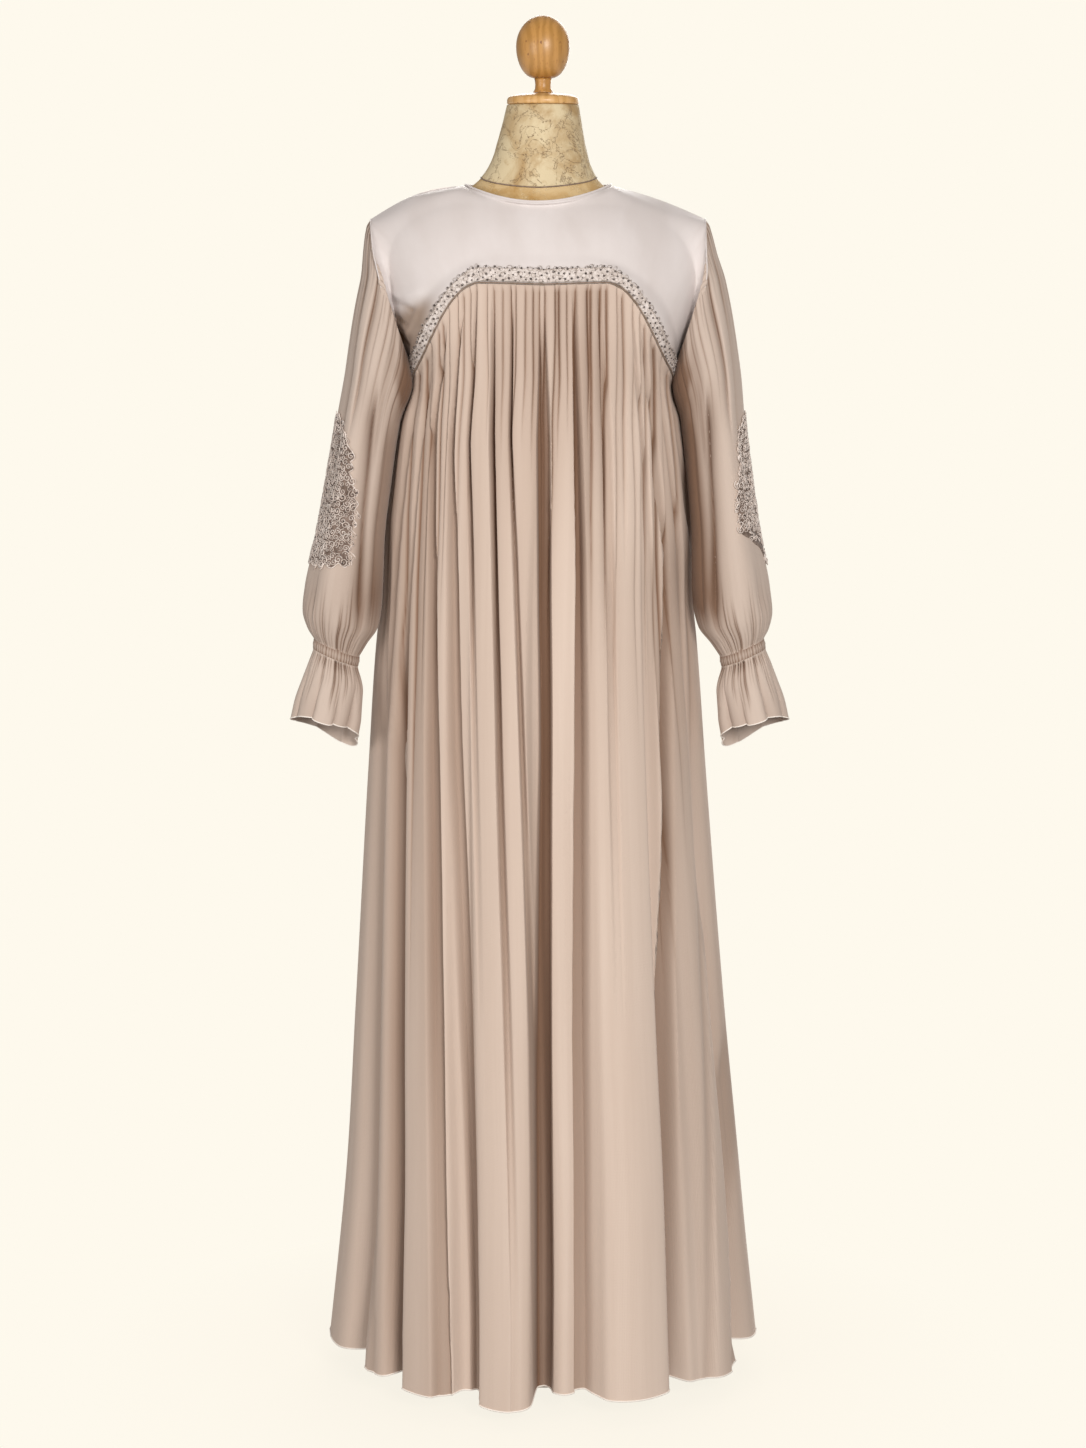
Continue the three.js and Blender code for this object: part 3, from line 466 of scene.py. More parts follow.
def skin(name, points, finish):
    """A closed body from a ring of columns, each a row of points from the bottom up."""
    columns, rows = points.shape[:2]
    i, j = grid(columns, rows - 1)
    ring = np.concatenate([points, points[:1]])
    along = (running(length(np.diff(ring, axis=0)).max(axis=1)) * MM,
             running(length(np.diff(points, axis=1)).mean(axis=0)) * MM)
    faces, uv = quads([(i, j), (i + 1, j), (i + 1, j + 1), (i, j + 1)], lambda a, b: a % columns * rows + b, along)
    return closed_up(mesh_object(name, points.reshape(-1, 3), faces, finish, uv))


# Materials ----------------------------------------------------------------------------------------------------------

def linear(code):
    """An sRGB hex colour as linear light."""
    share = [int(code[k:k + 2], 16) / 255 for k in (1, 3, 5)]
    return tuple(c / 12.92 if c <= 0.04045 else ((c + 0.055) / 1.055) ** 2.4 for c in share) + (1.0,)


def add(tree, kind, inputs=None, **settings):
    """Adds a node. inputs gives each socket, by name or number, a value or another node's output."""
    node = tree.nodes.new(kind)
    for name, value in settings.items():
        setattr(node, name, value)
    for socket, value in (inputs or {}).items():
        if isinstance(value, bpy.types.NodeSocket):
            tree.links.new(value, node.inputs[socket])
        else:
            node.inputs[socket].default_value = value
    return node


def blended(tree, share, a, b):
    """Colour a turning into colour b by share."""
    return add(tree, "ShaderNodeMix", {0: share, 6: a, 7: b}, data_type="RGBA", blend_type="MIX").outputs[2]


def scaled(tree, value, factor, offset=0.0):
    return add(tree, "ShaderNodeMath", {0: value, 1: factor, 2: offset}, operation="MULTIPLY_ADD").outputs[0]


def speckle(tree, place, per_metre, detail=2.0, roughness=0.5, distortion=0.0):
    """Noise from 0 to 1. per_metre is how many features there are to the metre along x, y and z."""
    stretched = add(tree, "ShaderNodeMapping", {"Vector": place, "Scale": per_metre})
    return add(tree, "ShaderNodeTexNoise", {
        "Vector": stretched.outputs[0], "Scale": 1.0, "Detail": detail, "Roughness": roughness,
        "Distortion": distortion}).outputs[0]


def between_values(tree, value, low, high, out_low=0.0, out_high=1.0):
    return add(tree, "ShaderNodeMapRange", {
        "Value": value, "From Min": low, "From Max": high, "To Min": out_low, "To Max": out_high}).outputs[0]


def finish_of(name, principled):
    """A material with its node tree, its Principled shader set from principled, and nothing else."""
    made = bpy.data.materials.new(name)
    tree = cleared(made)
    shader = add(tree, "ShaderNodeBsdfPrincipled", principled)
    add(tree, "ShaderNodeOutputMaterial", {"Surface": shader.outputs[0]})
    return made, tree, shader


def on_cloth(tree):
    return add(tree, "ShaderNodeUVMap", uv_map="cloth").outputs[0]


def on_object(tree):
    return add(tree, "ShaderNodeTexCoord").outputs["Object"]


def colour_and_bump(tree, shader, colour, height, strength, distance):
    tree.links.new(colour, shader.inputs["Base Color"])
    bump = add(tree, "ShaderNodeBump", {"Height": height, "Strength": strength, "Distance": distance})
    tree.links.new(bump.outputs[0], shader.inputs["Normal"])


def woven(tree, place, thread):
    """Height of a plain weave whose threads are thread metres apart."""
    pitch = 1 / thread
    across = add(tree, "ShaderNodeTexWave", {"Vector": place, "Scale": pitch / 6.283}, bands_direction="X")
    along = add(tree, "ShaderNodeTexWave", {"Vector": place, "Scale": pitch / 6.283}, bands_direction="Y")
    return add(tree, "ShaderNodeMath", {0: across.outputs[1], 1: along.outputs[1]}, operation="MAXIMUM").outputs[0]


# Metres between yarns. Real ones are taken as about 0.2 mm apart, and are drawn wider so that they show.
DRAWN_YARN = 0.0009


def chiffon(name, light, mid, dark, sheen=0.22):
    """Crepe chiffon: two fine layers hung together, so it is matt and soft in the light, with its folds painted
    browner as shade.
    """
    made, tree, shader = finish_of(name, {
        "Roughness": 0.78, "Specular IOR Level": 0.22, "Sheen Weight": sheen, "Sheen Roughness": 0.45,
        "Sheen Tint": linear("#F4E6DC")})
    place = on_cloth(tree)
    deep = add(tree, "ShaderNodeAttribute", attribute_name="deep").outputs["Fac"]
    streaks = speckle(tree, place, (70, 1.6, 1), detail=3, roughness=0.55)
    clouds = speckle(tree, place, (14, 3.5, 1), detail=3)
    crinkle = speckle(tree, place, (900, 60, 1), detail=2)
    lit = blended(tree, between_values(tree, streaks, 0.25, 0.75, 0.25, 0.85), linear(mid), linear(light))
    lit = blended(tree, between_values(tree, clouds, 0.35, 0.75, 0, 0.4), lit, linear(mid))
    # Painted shade: where the deep attribute is high, the lit colour turns to dark.
    colour = blended(tree, deep, lit, linear(dark))
    weave = woven(tree, place, DRAWN_YARN)
    height = scaled(tree, crinkle, 1.4, weave)
    colour_and_bump(tree, shader, colour, height, 0.28, 0.0004)
    return made


def crepe_back_satin(name, light, mid, dark):
    """Crepe-back satin: smooth long floats, so it is paler than the chiffon with a soft, wide highlight; dark is
    painted shade.
    """
    made, tree, shader = finish_of(name, {
        "Roughness": 0.46, "Specular IOR Level": 0.4, "Sheen Weight": 0.2, "Sheen Roughness": 0.35,
        "Sheen Tint": linear("#F6EEEA")})
    place = on_cloth(tree)
    deep = add(tree, "ShaderNodeAttribute", attribute_name="deep").outputs["Fac"]
    clouds = speckle(tree, place, (16, 9, 1), detail=4, roughness=0.6)
    floats = speckle(tree, place, (900, 160, 1), detail=2)
    lit = blended(tree, between_values(tree, clouds, 0.32, 0.7), linear(mid), linear(light))
    # Painted shade: where the deep attribute is high, the lit colour turns to dark.
    colour = blended(tree, deep, lit, linear(dark))
    height = scaled(tree, floats, 0.6, scaled(tree, clouds, 2.0))
    colour_and_bump(tree, shader, colour, height, 0.16, 0.0006)
    tree.links.new(between_values(tree, clouds, 0.3, 0.7, 0.4, 0.56), shader.inputs["Roughness"])
    return made


def thread(name, light, dark, roughness=0.6):
    """Mercerised embroidery thread: a little shine, with a fine twist that breaks up the light."""
    made, tree, shader = finish_of(name, {
        "Roughness": roughness, "Specular IOR Level": 0.35, "Sheen Weight": 0.15, "Sheen Roughness": 0.4})
    place = on_object(tree)
    twist = speckle(tree, place, (1400, 1400, 1400), detail=2)
    patches = speckle(tree, place, (160, 160, 160), detail=2)
    colour = blended(tree, between_values(tree, patches, 0.35, 0.65), linear(light), linear(dark))
    colour_and_bump(tree, shader, colour, twist, 0.35, 0.0004)
    return made


def glass_bead(name, light, dark):
    """Pewter-lined glass seed beads: dark, hard and glossy."""
    made, tree, shader = finish_of(name, {
        "Roughness": 0.22, "Metallic": 0.35, "Specular IOR Level": 0.6, "Coat Weight": 0.4, "Coat Roughness": 0.12})
    tint = speckle(tree, on_object(tree), (240, 240, 240), detail=1)
    colour = blended(tree, between_values(tree, tint, 0.4, 0.6), linear(light), linear(dark))
    tree.links.new(colour, shader.inputs["Base Color"])
    return made


def aged_cover(name, pale, stained, scratch, crackle=1.0):
    """An old glued paper-and-linen cover: cream, foxed in brown clouds and cracked along fine dark creases."""
    made, tree, shader = finish_of(name, {"Roughness": 0.62, "Specular IOR Level": 0.35})
    place = on_object(tree)
    foxing = speckle(tree, place, (26, 26, 26), detail=6, roughness=0.62, distortion=0.6)
    blots = speckle(tree, place, (90, 90, 90), detail=4, roughness=0.6)
    grain = speckle(tree, place, (420, 420, 420), detail=3)
    wavy = speckle(tree, place, (34, 34, 34), detail=5, roughness=0.65, distortion=1.2)
    ridge = add(tree, "ShaderNodeMath", {0: scaled(tree, wavy, 1.0, -0.5)}, operation="ABSOLUTE").outputs[0]
    crack = between_values(tree, ridge, 0.0, 0.012, crackle, 0.0)
    shade = blended(tree, between_values(tree, foxing, 0.42, 0.68), linear(pale), linear(stained))
    shade = blended(tree, between_values(tree, blots, 0.56, 0.74, 0, 0.7), shade, linear(stained))
    colour = blended(tree, crack, shade, linear(scratch))
    height = add(tree, "ShaderNodeMath", {0: scaled(tree, grain, 0.35, foxing), 1: crack}, operation="SUBTRACT")
    colour_and_bump(tree, shader, colour, height.outputs[0], 0.5, 0.0012)
    return made


def varnished_beech(name, light, dark):
    """Turned beech under clear varnish: honey coloured, with fine growth lines, short dark flecks and a gloss."""
    made, tree, shader = finish_of(name, {
        "Roughness": 0.42, "Specular IOR Level": 0.4, "Coat Weight": 0.25, "Coat Roughness": 0.26})
    place = on_object(tree)
    bent = add(tree, "ShaderNodeMapping", {"Vector": place, "Rotation": (0.12, 0.3, 0), "Scale": (1, 1, 0.18)})
    rings = add(tree, "ShaderNodeTexWave", {
        "Vector": bent.outputs[0], "Scale": 34.0, "Distortion": 5.0, "Detail": 3.0, "Detail Scale": 1.2},
        bands_direction="X").outputs[1]
    flecks = speckle(tree, place, (520, 520, 90), detail=2)
    pits = speckle(tree, place, (210, 210, 150), detail=1)
    wood = blended(tree, between_values(tree, rings, 0.15, 0.9), linear(light), linear(dark))
    wood = blended(tree, between_values(tree, flecks, 0.6, 0.72, 0, 0.55), wood, linear("#96612F"))
    pit = between_values(tree, pits, 0.71, 0.76)
    colour = blended(tree, pit, wood, linear("#7A4C22"))
    height = scaled(tree, pit, -1.0, scaled(tree, rings, 0.1))
    colour_and_bump(tree, shader, colour, height, 0.3, 0.0006)
    return made


def painted_steel(name):
    """Sheet steel with ivory satin paint: even, with a faint orange-peel texture."""
    made, tree, shader = finish_of(name, {"Roughness": 0.42, "Specular IOR Level": 0.45})
    place = on_object(tree)
    peel = speckle(tree, place, (300, 300, 300), detail=2)
    tone = speckle(tree, place, (12, 12, 12), detail=3)
    colour = blended(tree, between_values(tree, tone, 0.3, 0.7), linear("#E9DFCF"), linear("#E0D5C3"))
    colour_and_bump(tree, shader, colour, peel, 0.12, 0.0004)
    return made


# The last colour of crepe chiffon, sleeve chiffon and crepe-back satin is their painted shade, mixed in by the mesh's
# deep attribute.
CHIFFON = chiffon("crepe chiffon", "#D7C4B6", "#C9B4A5", "#735139")
SLEEVE_CHIFFON = chiffon("sleeve chiffon", "#CDBCB0", "#C0AEA1", "#6A4B35")
SATIN = crepe_back_satin("crepe-back satin", "#D8D0CE", "#D0C7C4", "#80603F")
BINDING = chiffon("bias binding", "#F5EDE5", "#EADFD5", "#B7A294", sheen=0.3)
TRIM_GROUND = thread("trim ground cloth", "#DDD3CE", "#C2B6AF", 0.7)
THREAD = thread("embroidery thread", "#D0C5BD", "#94857A")
# Dark brown cord: at the yoke's seam its darkness is painted shadow along the seam; on the form's neck seam it is the
# seam's own colour.
PIPING_CORD = thread("piping cord", "#8A7668", "#75614F", 0.62)
BEAD = glass_bead("pewter seed bead", "#6E625E", "#4B403C")
PALE_BEAD = glass_bead("smoke seed bead", "#C9BDB6", "#9C8E88")
LACE_CORD = thread("lace cord", "#ECE0D8", "#CDBCB1", 0.62)
# The lace's net is real, but its dark brown is painted shade for the gaps between the pale cords.
LACE_NET_WITH_PAINTED_SHADE = thread("lace net with painted shade", "#89766B", "#5E4D43", 0.75)
PARCHMENT = aged_cover("parchment neck cover", "#D1BF9B", "#AE9064", "#80654A")
LINEN = aged_cover("tan linen cover", "#CDB183", "#B08A52", "#E3CFA6", crackle=0.5)
BEECH = varnished_beech("varnished beech", "#BD8A49", "#AB7B3B")
PALE_BEECH = varnished_beech("pale varnished beech", "#D3A66B", "#C79859")
STEEL = painted_steel("ivory painted steel")


# Placing pieces
# -------------------------------------------------------------------------------------------------------

def place_on_frame(piece, slot, *nodes):
    """Every piece rides on the one body and may stand for CAD nodes. Its slot argument is not used."""
    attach(piece, "root")
    if nodes:
        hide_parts(*nodes)
    return piece


# Geometry Nodes -----------------------------------------------------------------------------------------------------

def tree_of(name, sizes):
    """A Geometry Nodes tree with named inputs for its sizes, and its carrier's geometry."""
    tree = bpy.data.node_groups.new(name, "GeometryNodeTree")
    tree.interface.new_socket("Carrier", in_out="INPUT", socket_type="NodeSocketGeometry")
    for label, value in sizes.items():
        kind = "NodeSocketInt" if isinstance(value, int) else "NodeSocketFloat"
        tree.interface.new_socket(label, in_out="INPUT", socket_type=kind).default_value = value
    tree.interface.new_socket("Made", in_out="OUTPUT", socket_type="NodeSocketGeometry")
    return tree, tree.nodes.new("NodeGroupInput").outputs


def end_tree(tree, instances, finish):
    real = add(tree, "GeometryNodeRealizeInstances", {0: instances})
    smooth = add(tree, "GeometryNodeSetShadeSmooth", {0: real.outputs[0]})
    made = add(tree, "GeometryNodeSetMaterial", {0: smooth.outputs[0], "Material": finish})
    add(tree, "NodeGroupOutput", {0: made.outputs[0]})


def grown(name, carrier, tree, sizes):
    """Runs a tree on a carrier and keeps what it makes as a plain mesh."""
    modifier = carrier.modifiers.new("grow", "NODES")
    modifier.node_group = tree
    for socket in tree.interface.items_tree:
        if socket.name in sizes:
            modifier[socket.identifier] = sizes[socket.name]
    graph = bpy.context.evaluated_depsgraph_get()
    mesh = bpy.data.meshes.new_from_object(carrier.evaluated_get(graph), depsgraph=graph)
    mesh.name = name
    bpy.data.objects.remove(carrier)
    return linked(bpy.data.objects.new(name, mesh))


def random_value(tree, low, high, seed, kind="FLOAT"):
    first, made = (0, 0) if kind == "FLOAT_VECTOR" else (2, 1)
    node = add(tree, "FunctionNodeRandomValue", {first: low, first + 1: high, "Seed": seed}, data_type=kind)
    return node.outputs[made]


def scattered(tree, carrier, spacing, seed):
    """Points spread over a surface, no two nearer than spacing, with a turn that stands each on the surface."""
    node = add(tree, "GeometryNodeDistributePointsOnFaces", {
        "Mesh": carrier, "Distance Min": spacing, "Density Max": 400000.0, "Density Factor": 1.0, "Seed": seed},
        distribute_method="POISSON")
    return node.outputs["Points"], node.outputs["Rotation"]


def spun(tree, turn, seed):
    """Turns each point's own rotation by a random amount round the surface's normal."""
    spin = random_value(tree, (0, 0, 0), (0, 0, 2 * PI), seed, "FLOAT_VECTOR")
    return add(tree, "FunctionNodeRotateRotation", {0: turn, 1: spin}, rotation_space="LOCAL").outputs[0]


def set_on(tree, points, motif, turn, size):
    return add(tree, "GeometryNodeInstanceOnPoints", {
        "Points": points, "Instance": motif, "Rotation": turn, "Scale": size}).outputs[0]


def bead_tree(finish):
    tree, given = tree_of("beads", {"Spacing": 0.005, "Bead radius": 0.0011, "Seed": 3})
    points, turn = scattered(tree, given["Carrier"], given["Spacing"], given["Seed"])
    bead = add(tree, "GeometryNodeMeshUVSphere", {"Segments": 7, "Rings": 5, "Radius": given["Bead radius"]})
    size = random_value(tree, 0.6, 1.2, given["Seed"])
    end_tree(tree, set_on(tree, points, bead.outputs[0], turn, size), finish)
    return tree


def corded(tree, path, cord_radius, sides=4):
    section = add(tree, "GeometryNodeCurvePrimitiveCircle", {"Resolution": sides, "Radius": cord_radius})
    return add(tree, "GeometryNodeCurveToMesh", {0: path, 1: section.outputs[0], "Fill Caps": True}).outputs[0]


def loop_tree(finish):
    """Small loops of thread laid flat on the cloth."""
    tree, given = tree_of("thread loops", {"Spacing": 0.005, "Loop radius": 0.0016, "Cord radius": 0.0003, "Seed": 5})
    points, turn = scattered(tree, given["Carrier"], given["Spacing"], given["Seed"])
    ring = add(tree, "GeometryNodeCurvePrimitiveCircle", {"Resolution": 9, "Radius": given["Loop radius"]})
    size = random_value(tree, (0.5, 0.8, 1), (1.1, 1.4, 1), given["Seed"], "FLOAT_VECTOR")
    motif = corded(tree, ring.outputs[0], given["Cord radius"], 3)
    end_tree(tree, set_on(tree, points, motif, spun(tree, turn, given["Seed"]), size), finish)
    return tree


def scroll_tree(finish):
    """Scrolls of lace cord, each a flat spiral laid on the net."""
    sizes = {"Spacing": 0.0045, "Scroll radius": 0.0032, "Cord radius": 0.00042, "Seed": 7}
    tree, given = tree_of("lace scrolls", sizes)
    points, turn = scattered(tree, given["Carrier"], given["Spacing"], given["Seed"])
    spiral = add(tree, "GeometryNodeCurveSpiral", {
        "Resolution": 9, "Rotations": 1.5, "Start Radius": 0.0005, "End Radius": given["Scroll radius"],
        "Height": 0.0004})
    size = random_value(tree, 0.6, 1.1, given["Seed"])
    motif = corded(tree, spiral.outputs[0], given["Cord radius"], 3)
    end_tree(tree, set_on(tree, points, motif, spun(tree, turn, given["Seed"]), size), finish)
    return tree


def carrier(points, lift, mirrored=False, leans="body"):
    """A single sheet that a tree spreads its motifs over."""
    sheet = hung(points + outward(points) * lift, mirrored, leans)
    columns, rows = sheet.shape[:2]
    i, j = grid(columns - 1, rows - 1)
    corners = [i * rows + j, i * rows + j + 1, (i + 1) * rows + j + 1, (i + 1) * rows + j]
    faces = np.stack([c.ravel() for c in corners], -1)
    return mesh_object("carrier", sheet.reshape(-1, 3), faces, THREAD)


DARK_BEADS = bead_tree(BEAD)
PALE_BEADS = bead_tree(PALE_BEAD)
THREAD_LOOPS = loop_tree(THREAD)
LACE_SCROLLS = scroll_tree(LACE_CORD)


# Gathers ------------------------------------------------------------------------------------------------------------

def gather_lines(count, seed):
    """Places of the valleys between gathers, from 0 to 1 along a seam and unevenly spaced, with one at each end."""
    k = np.arange(count + 1)
    off = (chance(k, seed) - 0.5) * 0.8
    off[[0, -1]] = 0
    return (k + off) / count


def places_between(lines, each):
    """Columns between neighbouring valleys, closer together near each valley, where the cloth turns sharply."""
    t = np.arange(each) / each
    t = mix(t, (1 - np.cos(PI * t)) / 2, 0.6)
    inner = lines[:-1, None] + np.diff(lines)[:, None] * t
    return np.append(inner.ravel(), lines[-1])


def crease(off, left, right):
    """A valley at off = 0, with one shoulder crisp and the other soft: left and right are their widths."""
    return np.exp(-np.abs(off) / np.where(off < 0, left, right))


CRISPNESS = 0.9


def shoulders(k, seed, pitch):
    """Widths of valley k's two shoulders. One is always crisp, and chance says which."""
    soft = mix(0.3, 0.62, chance(k, seed)) * pitch
    crisp = mix(0.07, 0.13, chance(k, seed + 0.3)) * pitch
    crisp = mix(crisp, soft, 1 - CRISPNESS)
    return (crisp, soft) if chance(k, seed + 0.6) > 0.45 else (soft, crisp)


# Yokes --------------------------------------------------------------------------------------------------------------

def near_line(p, start, end, width):
    """1 on the straight line between two (x, z) points, falling to 0 over width mm."""
    start, end = np.array(start, float), np.array(end, float)
    along = end - start
    flat = p[..., [0, 2]] - start
    share = (flat @ along) / (along @ along)
    off = np.linalg.norm(flat - np.clip(share, 0, 1)[..., None] * along, axis=-1)
    return np.exp(-((off / width) ** 2)) * (1 - between(share, 0.6, 1.1))


# Drag lines under the arms, as (x, z) ends, width and height. A valley has a height below 0.
YOKE_DRAGS = [
    ((-190, 1330), (-158, 1306), 2.2, -3.0), ((-186, 1342), (-140, 1352), 7.0, 2.2),
    ((-188, 1312), (-160, 1284), 2.4, -3.0), ((-182, 1322), (-152, 1296), 6.0, 2.4),
    ((-180, 1340), (-146, 1324), 3.0, -2.0), ((-150, 1330), (-166, 1290), 4.0, 2.2),
    ((200, 1352), (176, 1300), 6.0, 1.8), ((186, 1330), (166, 1282), 3.0, -2.2),
]


def faired(points, rounds):
    """Evens a grid out across its columns, but leaves its outline and lower band where they are."""
    rows = np.linspace(0, 1, points.shape[1])
    hold = (between(rows, 0.02, 0.2) * (1 - between(rows, 0.7, 0.85)))[None, :, None]
    points = points.copy()
    for _ in range(rounds):
        points[1:-1] += 0.5 * hold * ((points[2:] + points[:-2]) / 2 - points[1:-1])
    return points


YOKE_EVENING = 160
ARMHOLE_PUCKERS = 58


def yoke_surface(facing, columns=140, rows=72):
    across = np.linspace(-1, 1, columns)
    down = np.linspace(0, 1, rows)
    # More rows near the upper outline, where the shoulder turns over.
    down = mix(down, down**1.6, 0.6)
    points = faired(yoke_point(-facing * across[:, None], down[None, :], facing), YOKE_EVENING)
    normal = outward(points)
    raised = np.zeros(points.shape[:2])
    e, v = np.broadcast_arrays(np.abs(across)[:, None], down[None, :])
    seen = points * np.array([-facing, 1, 1])
    for start, end, width, height in YOKE_DRAGS:
        raised += near_line(seen, start, end, width) * height * (1 if facing < 0 else 0.5)
    raised *= 1 - between(v, 0.72, 0.8)
    puckers = (0.5 + 0.5 * np.cos(2 * PI * ARMHOLE_PUCKERS * e + 3 * wander(e, 4, 40))) * (e > SHOULDER_END)
    raised -= 0.9 * puckers * (1 - between(v, 0.0, 0.14))
    # Painted shade under the arm: below a line from the armhole to the trim, where the cloth turns under the arm, it
    # is darkened far up on the right and less on the left.
    x, z = seen[..., 0], seen[..., 2]
    turns_at = np.where(x < 0, 1328 + 0.48 * (185 + x), 1296 + 0.3 * (x - 160))
    underarm_painted_shade = between(turns_at - z, -3, np.where(x < 0, 20, 34)) * between(np.abs(x), 118, 150)
    underarm_painted_shade *= np.where(x < 0, 0.7, 0.5) * (1 if facing < 0 else 0.6)
    # Painted shade in the valleys of the drag lines and armhole puckers, and in soft folds that the surface itself
    # does not have.
    fold_painted_shade = 0.06 * between(wander(x / 26 + 0.4 * wander(z / 40, 71), 73) + wander(z / 60, 74), 0.3, 1.4)
    deep = np.clip(underarm_painted_shade + np.clip(-raised, 0, 3) * 0.15 + fold_painted_shade, 0, 1)
    return on_side(points + normal * raised[..., None], facing), deep


# Skirts -------------------------------------------------------------------------------------------------------------

# For the front (-1) and the back (1): how many gathers, and the seed that spaces them.
GATHERS = {-1: 39, 1: 35}
GATHER_SEED = {-1: 11, 1: 23}
HEM_FOLDS = {-1: front_fold_at, 1: back_fold_at}
VALLEY_HEIGHTS = [1350, 1178, 1037, 801, 457, 133]
# The front's long valleys: which edge is crisp, then left edge, right edge and depth at each of those heights.
FRONT_VALLEYS = [
    ("right", (-138, -136, 2), (-166, -162, 4), (-180, -175, 5), (-200, -194, 5), (-212, -204, 5), (-222, -212, 4)),
    ("right", (-126, -124, 1), (-152, -148, 4), (-162, -157, 5), (-186, -178, 9), (-193, -180, 11), (-198, -176, 9)),
    ("right", (-113, -111, 3), (-139, -132, 9), (-139, -130, 11), (-141, -125, 11), (-138, -121, 11), (-134, -117, 9)),
    ("right", (-97, -95, 5), (-114, -108, 11), (-117, -105, 9), (-116, -101, 10), (-106, -89, 10), (-98, -80, 9)),
    ("left", (-81, -79, 4), (-92, -87, 9), (-91, -84, 7), (-86, -79, 3), (-76, -72, 0), (-70, -66, 0)),
    ("left", (-61, -58, 4), (-65, -59, 12), (-61, -55, 14), (-57, -50, 11), (-47, -39, 6), (-38, -30, 1)),
    ("left", (-39, -36, 3), (-41, -37, 8), (-35, -30, 9), (-28, -22, 9), (-18, -10, 8), (-14, -6, 6)),
    ("right", (-2, 2, 3), (-7, 9, 13), (-5, 11, 17), (-3, 12, 18), (-9, 13, 16), (-13, 14, 13)),
    ("left", (36, 40, 4), (38, 47, 14), (41, 52, 16), (41, 56, 13), (41, 60, 11), (45, 66, 9)),
    ("both", (66, 70, 2), (74, 82, 6), (76, 86, 6), (80, 90, 3), (88, 98, 0), (92, 102, 0)),
    ("right", (104, 107, 2), (117, 123, 5), (128, 135, 3), (138, 144, 2), (150, 154, 0), (154, 158, 0)),
    ("left", (114, 117, 1), (131, 136, 5), (147, 154, 9), (148, 157, 14), (155, 168, 12), (160, 178, 8)),
    ("right", (130, 133, 2), (150, 155, 5), (166, 172, 5), (182, 189, 4), (198, 206, 4), (208, 216, 3)),
    ("both", (141, 144, 1), (162, 167, 4), (184, 190, 5), (208, 216, 6), (228, 238, 7), (238, 250, 6)),
]
BACK_VALLEYS = [
    ("left", (-136, -134, 2), (-162, -157, 5), (-176, -170, 6), (-198, -190, 7), (-214, -203, 8), (-224, -210, 7)),
    ("right", (-118, -115, 3), (-138, -131, 8), (-146, -137, 9), (-156, -144, 9), (-162, -146, 9), (-168, -148, 8)),
    ("both", (-96, -93, 4), (-108, -102, 10), (-112, -102, 8), (-120, -108, 5), (-128, -116, 3), (-134, -122, 2)),
    ("right", (-73, -70, 5), (-82, -73, 12), (-86, -74, 12), (-90, -76, 11), (-96, -78, 11), (-100, -80, 9)),
    ("left", (-50, -47, 5), (-56, -50, 9), (-58, -50, 9), (-58, -48, 5), (-56, -46, 2), (-54, -46, 1)),
    ("right", (-22, -19, 5), (-27, -18, 13), (-30, -18, 14), (-33, -19, 13), (-38, -19, 12), (-42, -20, 10)),
    ("left", (8, 11, 5), (8, 16, 10), (8, 17, 9), (10, 20, 6), (14, 24, 3), (18, 28, 2)),
    ("left", (33, 36, 5), (36, 46, 13), (40, 52, 14), (48, 62, 13), (54, 74, 12), (56, 78, 10)),
    ("both", (62, 65, 4), (70, 77, 9), (76, 84, 7), (88, 97, 4), (100, 110, 2), (106, 116, 1)),
    ("right", (88, 91, 3), (102, 109, 7), (112, 121, 8), (124, 138, 8), (134, 152, 9), (138, 160, 8)),
    ("left", (113, 116, 3), (130, 136, 7), (146, 154, 8), (164, 175, 8), (178, 193, 8), (184, 202, 7)),
    ("both", (134, 137, 2), (156, 161, 5), (174, 180, 5), (198, 206, 6), (214, 224, 6), (224, 236, 5)),
]
LONG_VALLEYS = {-1: FRONT_VALLEYS, 1: BACK_VALLEYS}
# The hanging cloth is a little fuller than the body's table beside the waist, so that the sleeves rest on it.
SIDE_FULLNESS = {"amount": 9, "low": (950, 1085), "high": (1190, 1238)}


def side_fullness(z):
    at = SIDE_FULLNESS
    return at["amount"] * between(z, *at["low"]) * (1 - between(z, *at["high"]))


def body_side(y, z):
    """How far out the hanging cloth's side is at y, with its fullness."""
    at = body_at(z)
    share = np.clip(np.abs(y) / np.where(y < 0, at["front"], at["back"]), 0, 1)
    return (at["width"] + side_fullness(z)) * (1 - share ** at["power"]) ** (1 / at["power"])


def skirt_start(s, facing):
    """Where the skirt leaves the yoke's lower edge at place s."""
    return yoke_point(s, in_band(1 + 0.4 / band_height(np.abs(s))), facing)


def seam_share(facing):
    """Place s along the yoke's edge for a share of the gathering, from 0 under the right arm to 1.

    The gathers are spread by width more than by length, so they lie further apart along the slanting sides.
    """
    s = np.linspace(-1, 1, 801)
    step = np.diff(skirt_start(s, facing), axis=0)
    run = running(0.85 * np.abs(step[:, 0]) + 0.15 * length(step))
    return run / run[-1], s


def valley_edges(rows, z):
    """Left edge, right edge and depth of a long valley at height z."""
    heights = [-height for height in VALLEY_HEIGHTS]
    return [np.interp(-z, heights, column) for column in zip(*rows)]


def grid_step(x):
    """Distance between neighbouring columns, below which no line can be drawn."""
    return np.abs(np.gradient(x, axis=0))


# A gather's depth in mm, the painted shade of its line, and the most painted shade of its shoulders in the middle and
# at the sides.
GATHER_DEPTH = (2.8, 5.0)
LINE_SHADE = (0.44, 0.78)
SHOULDER_SHADE = (0.34, 0.2)


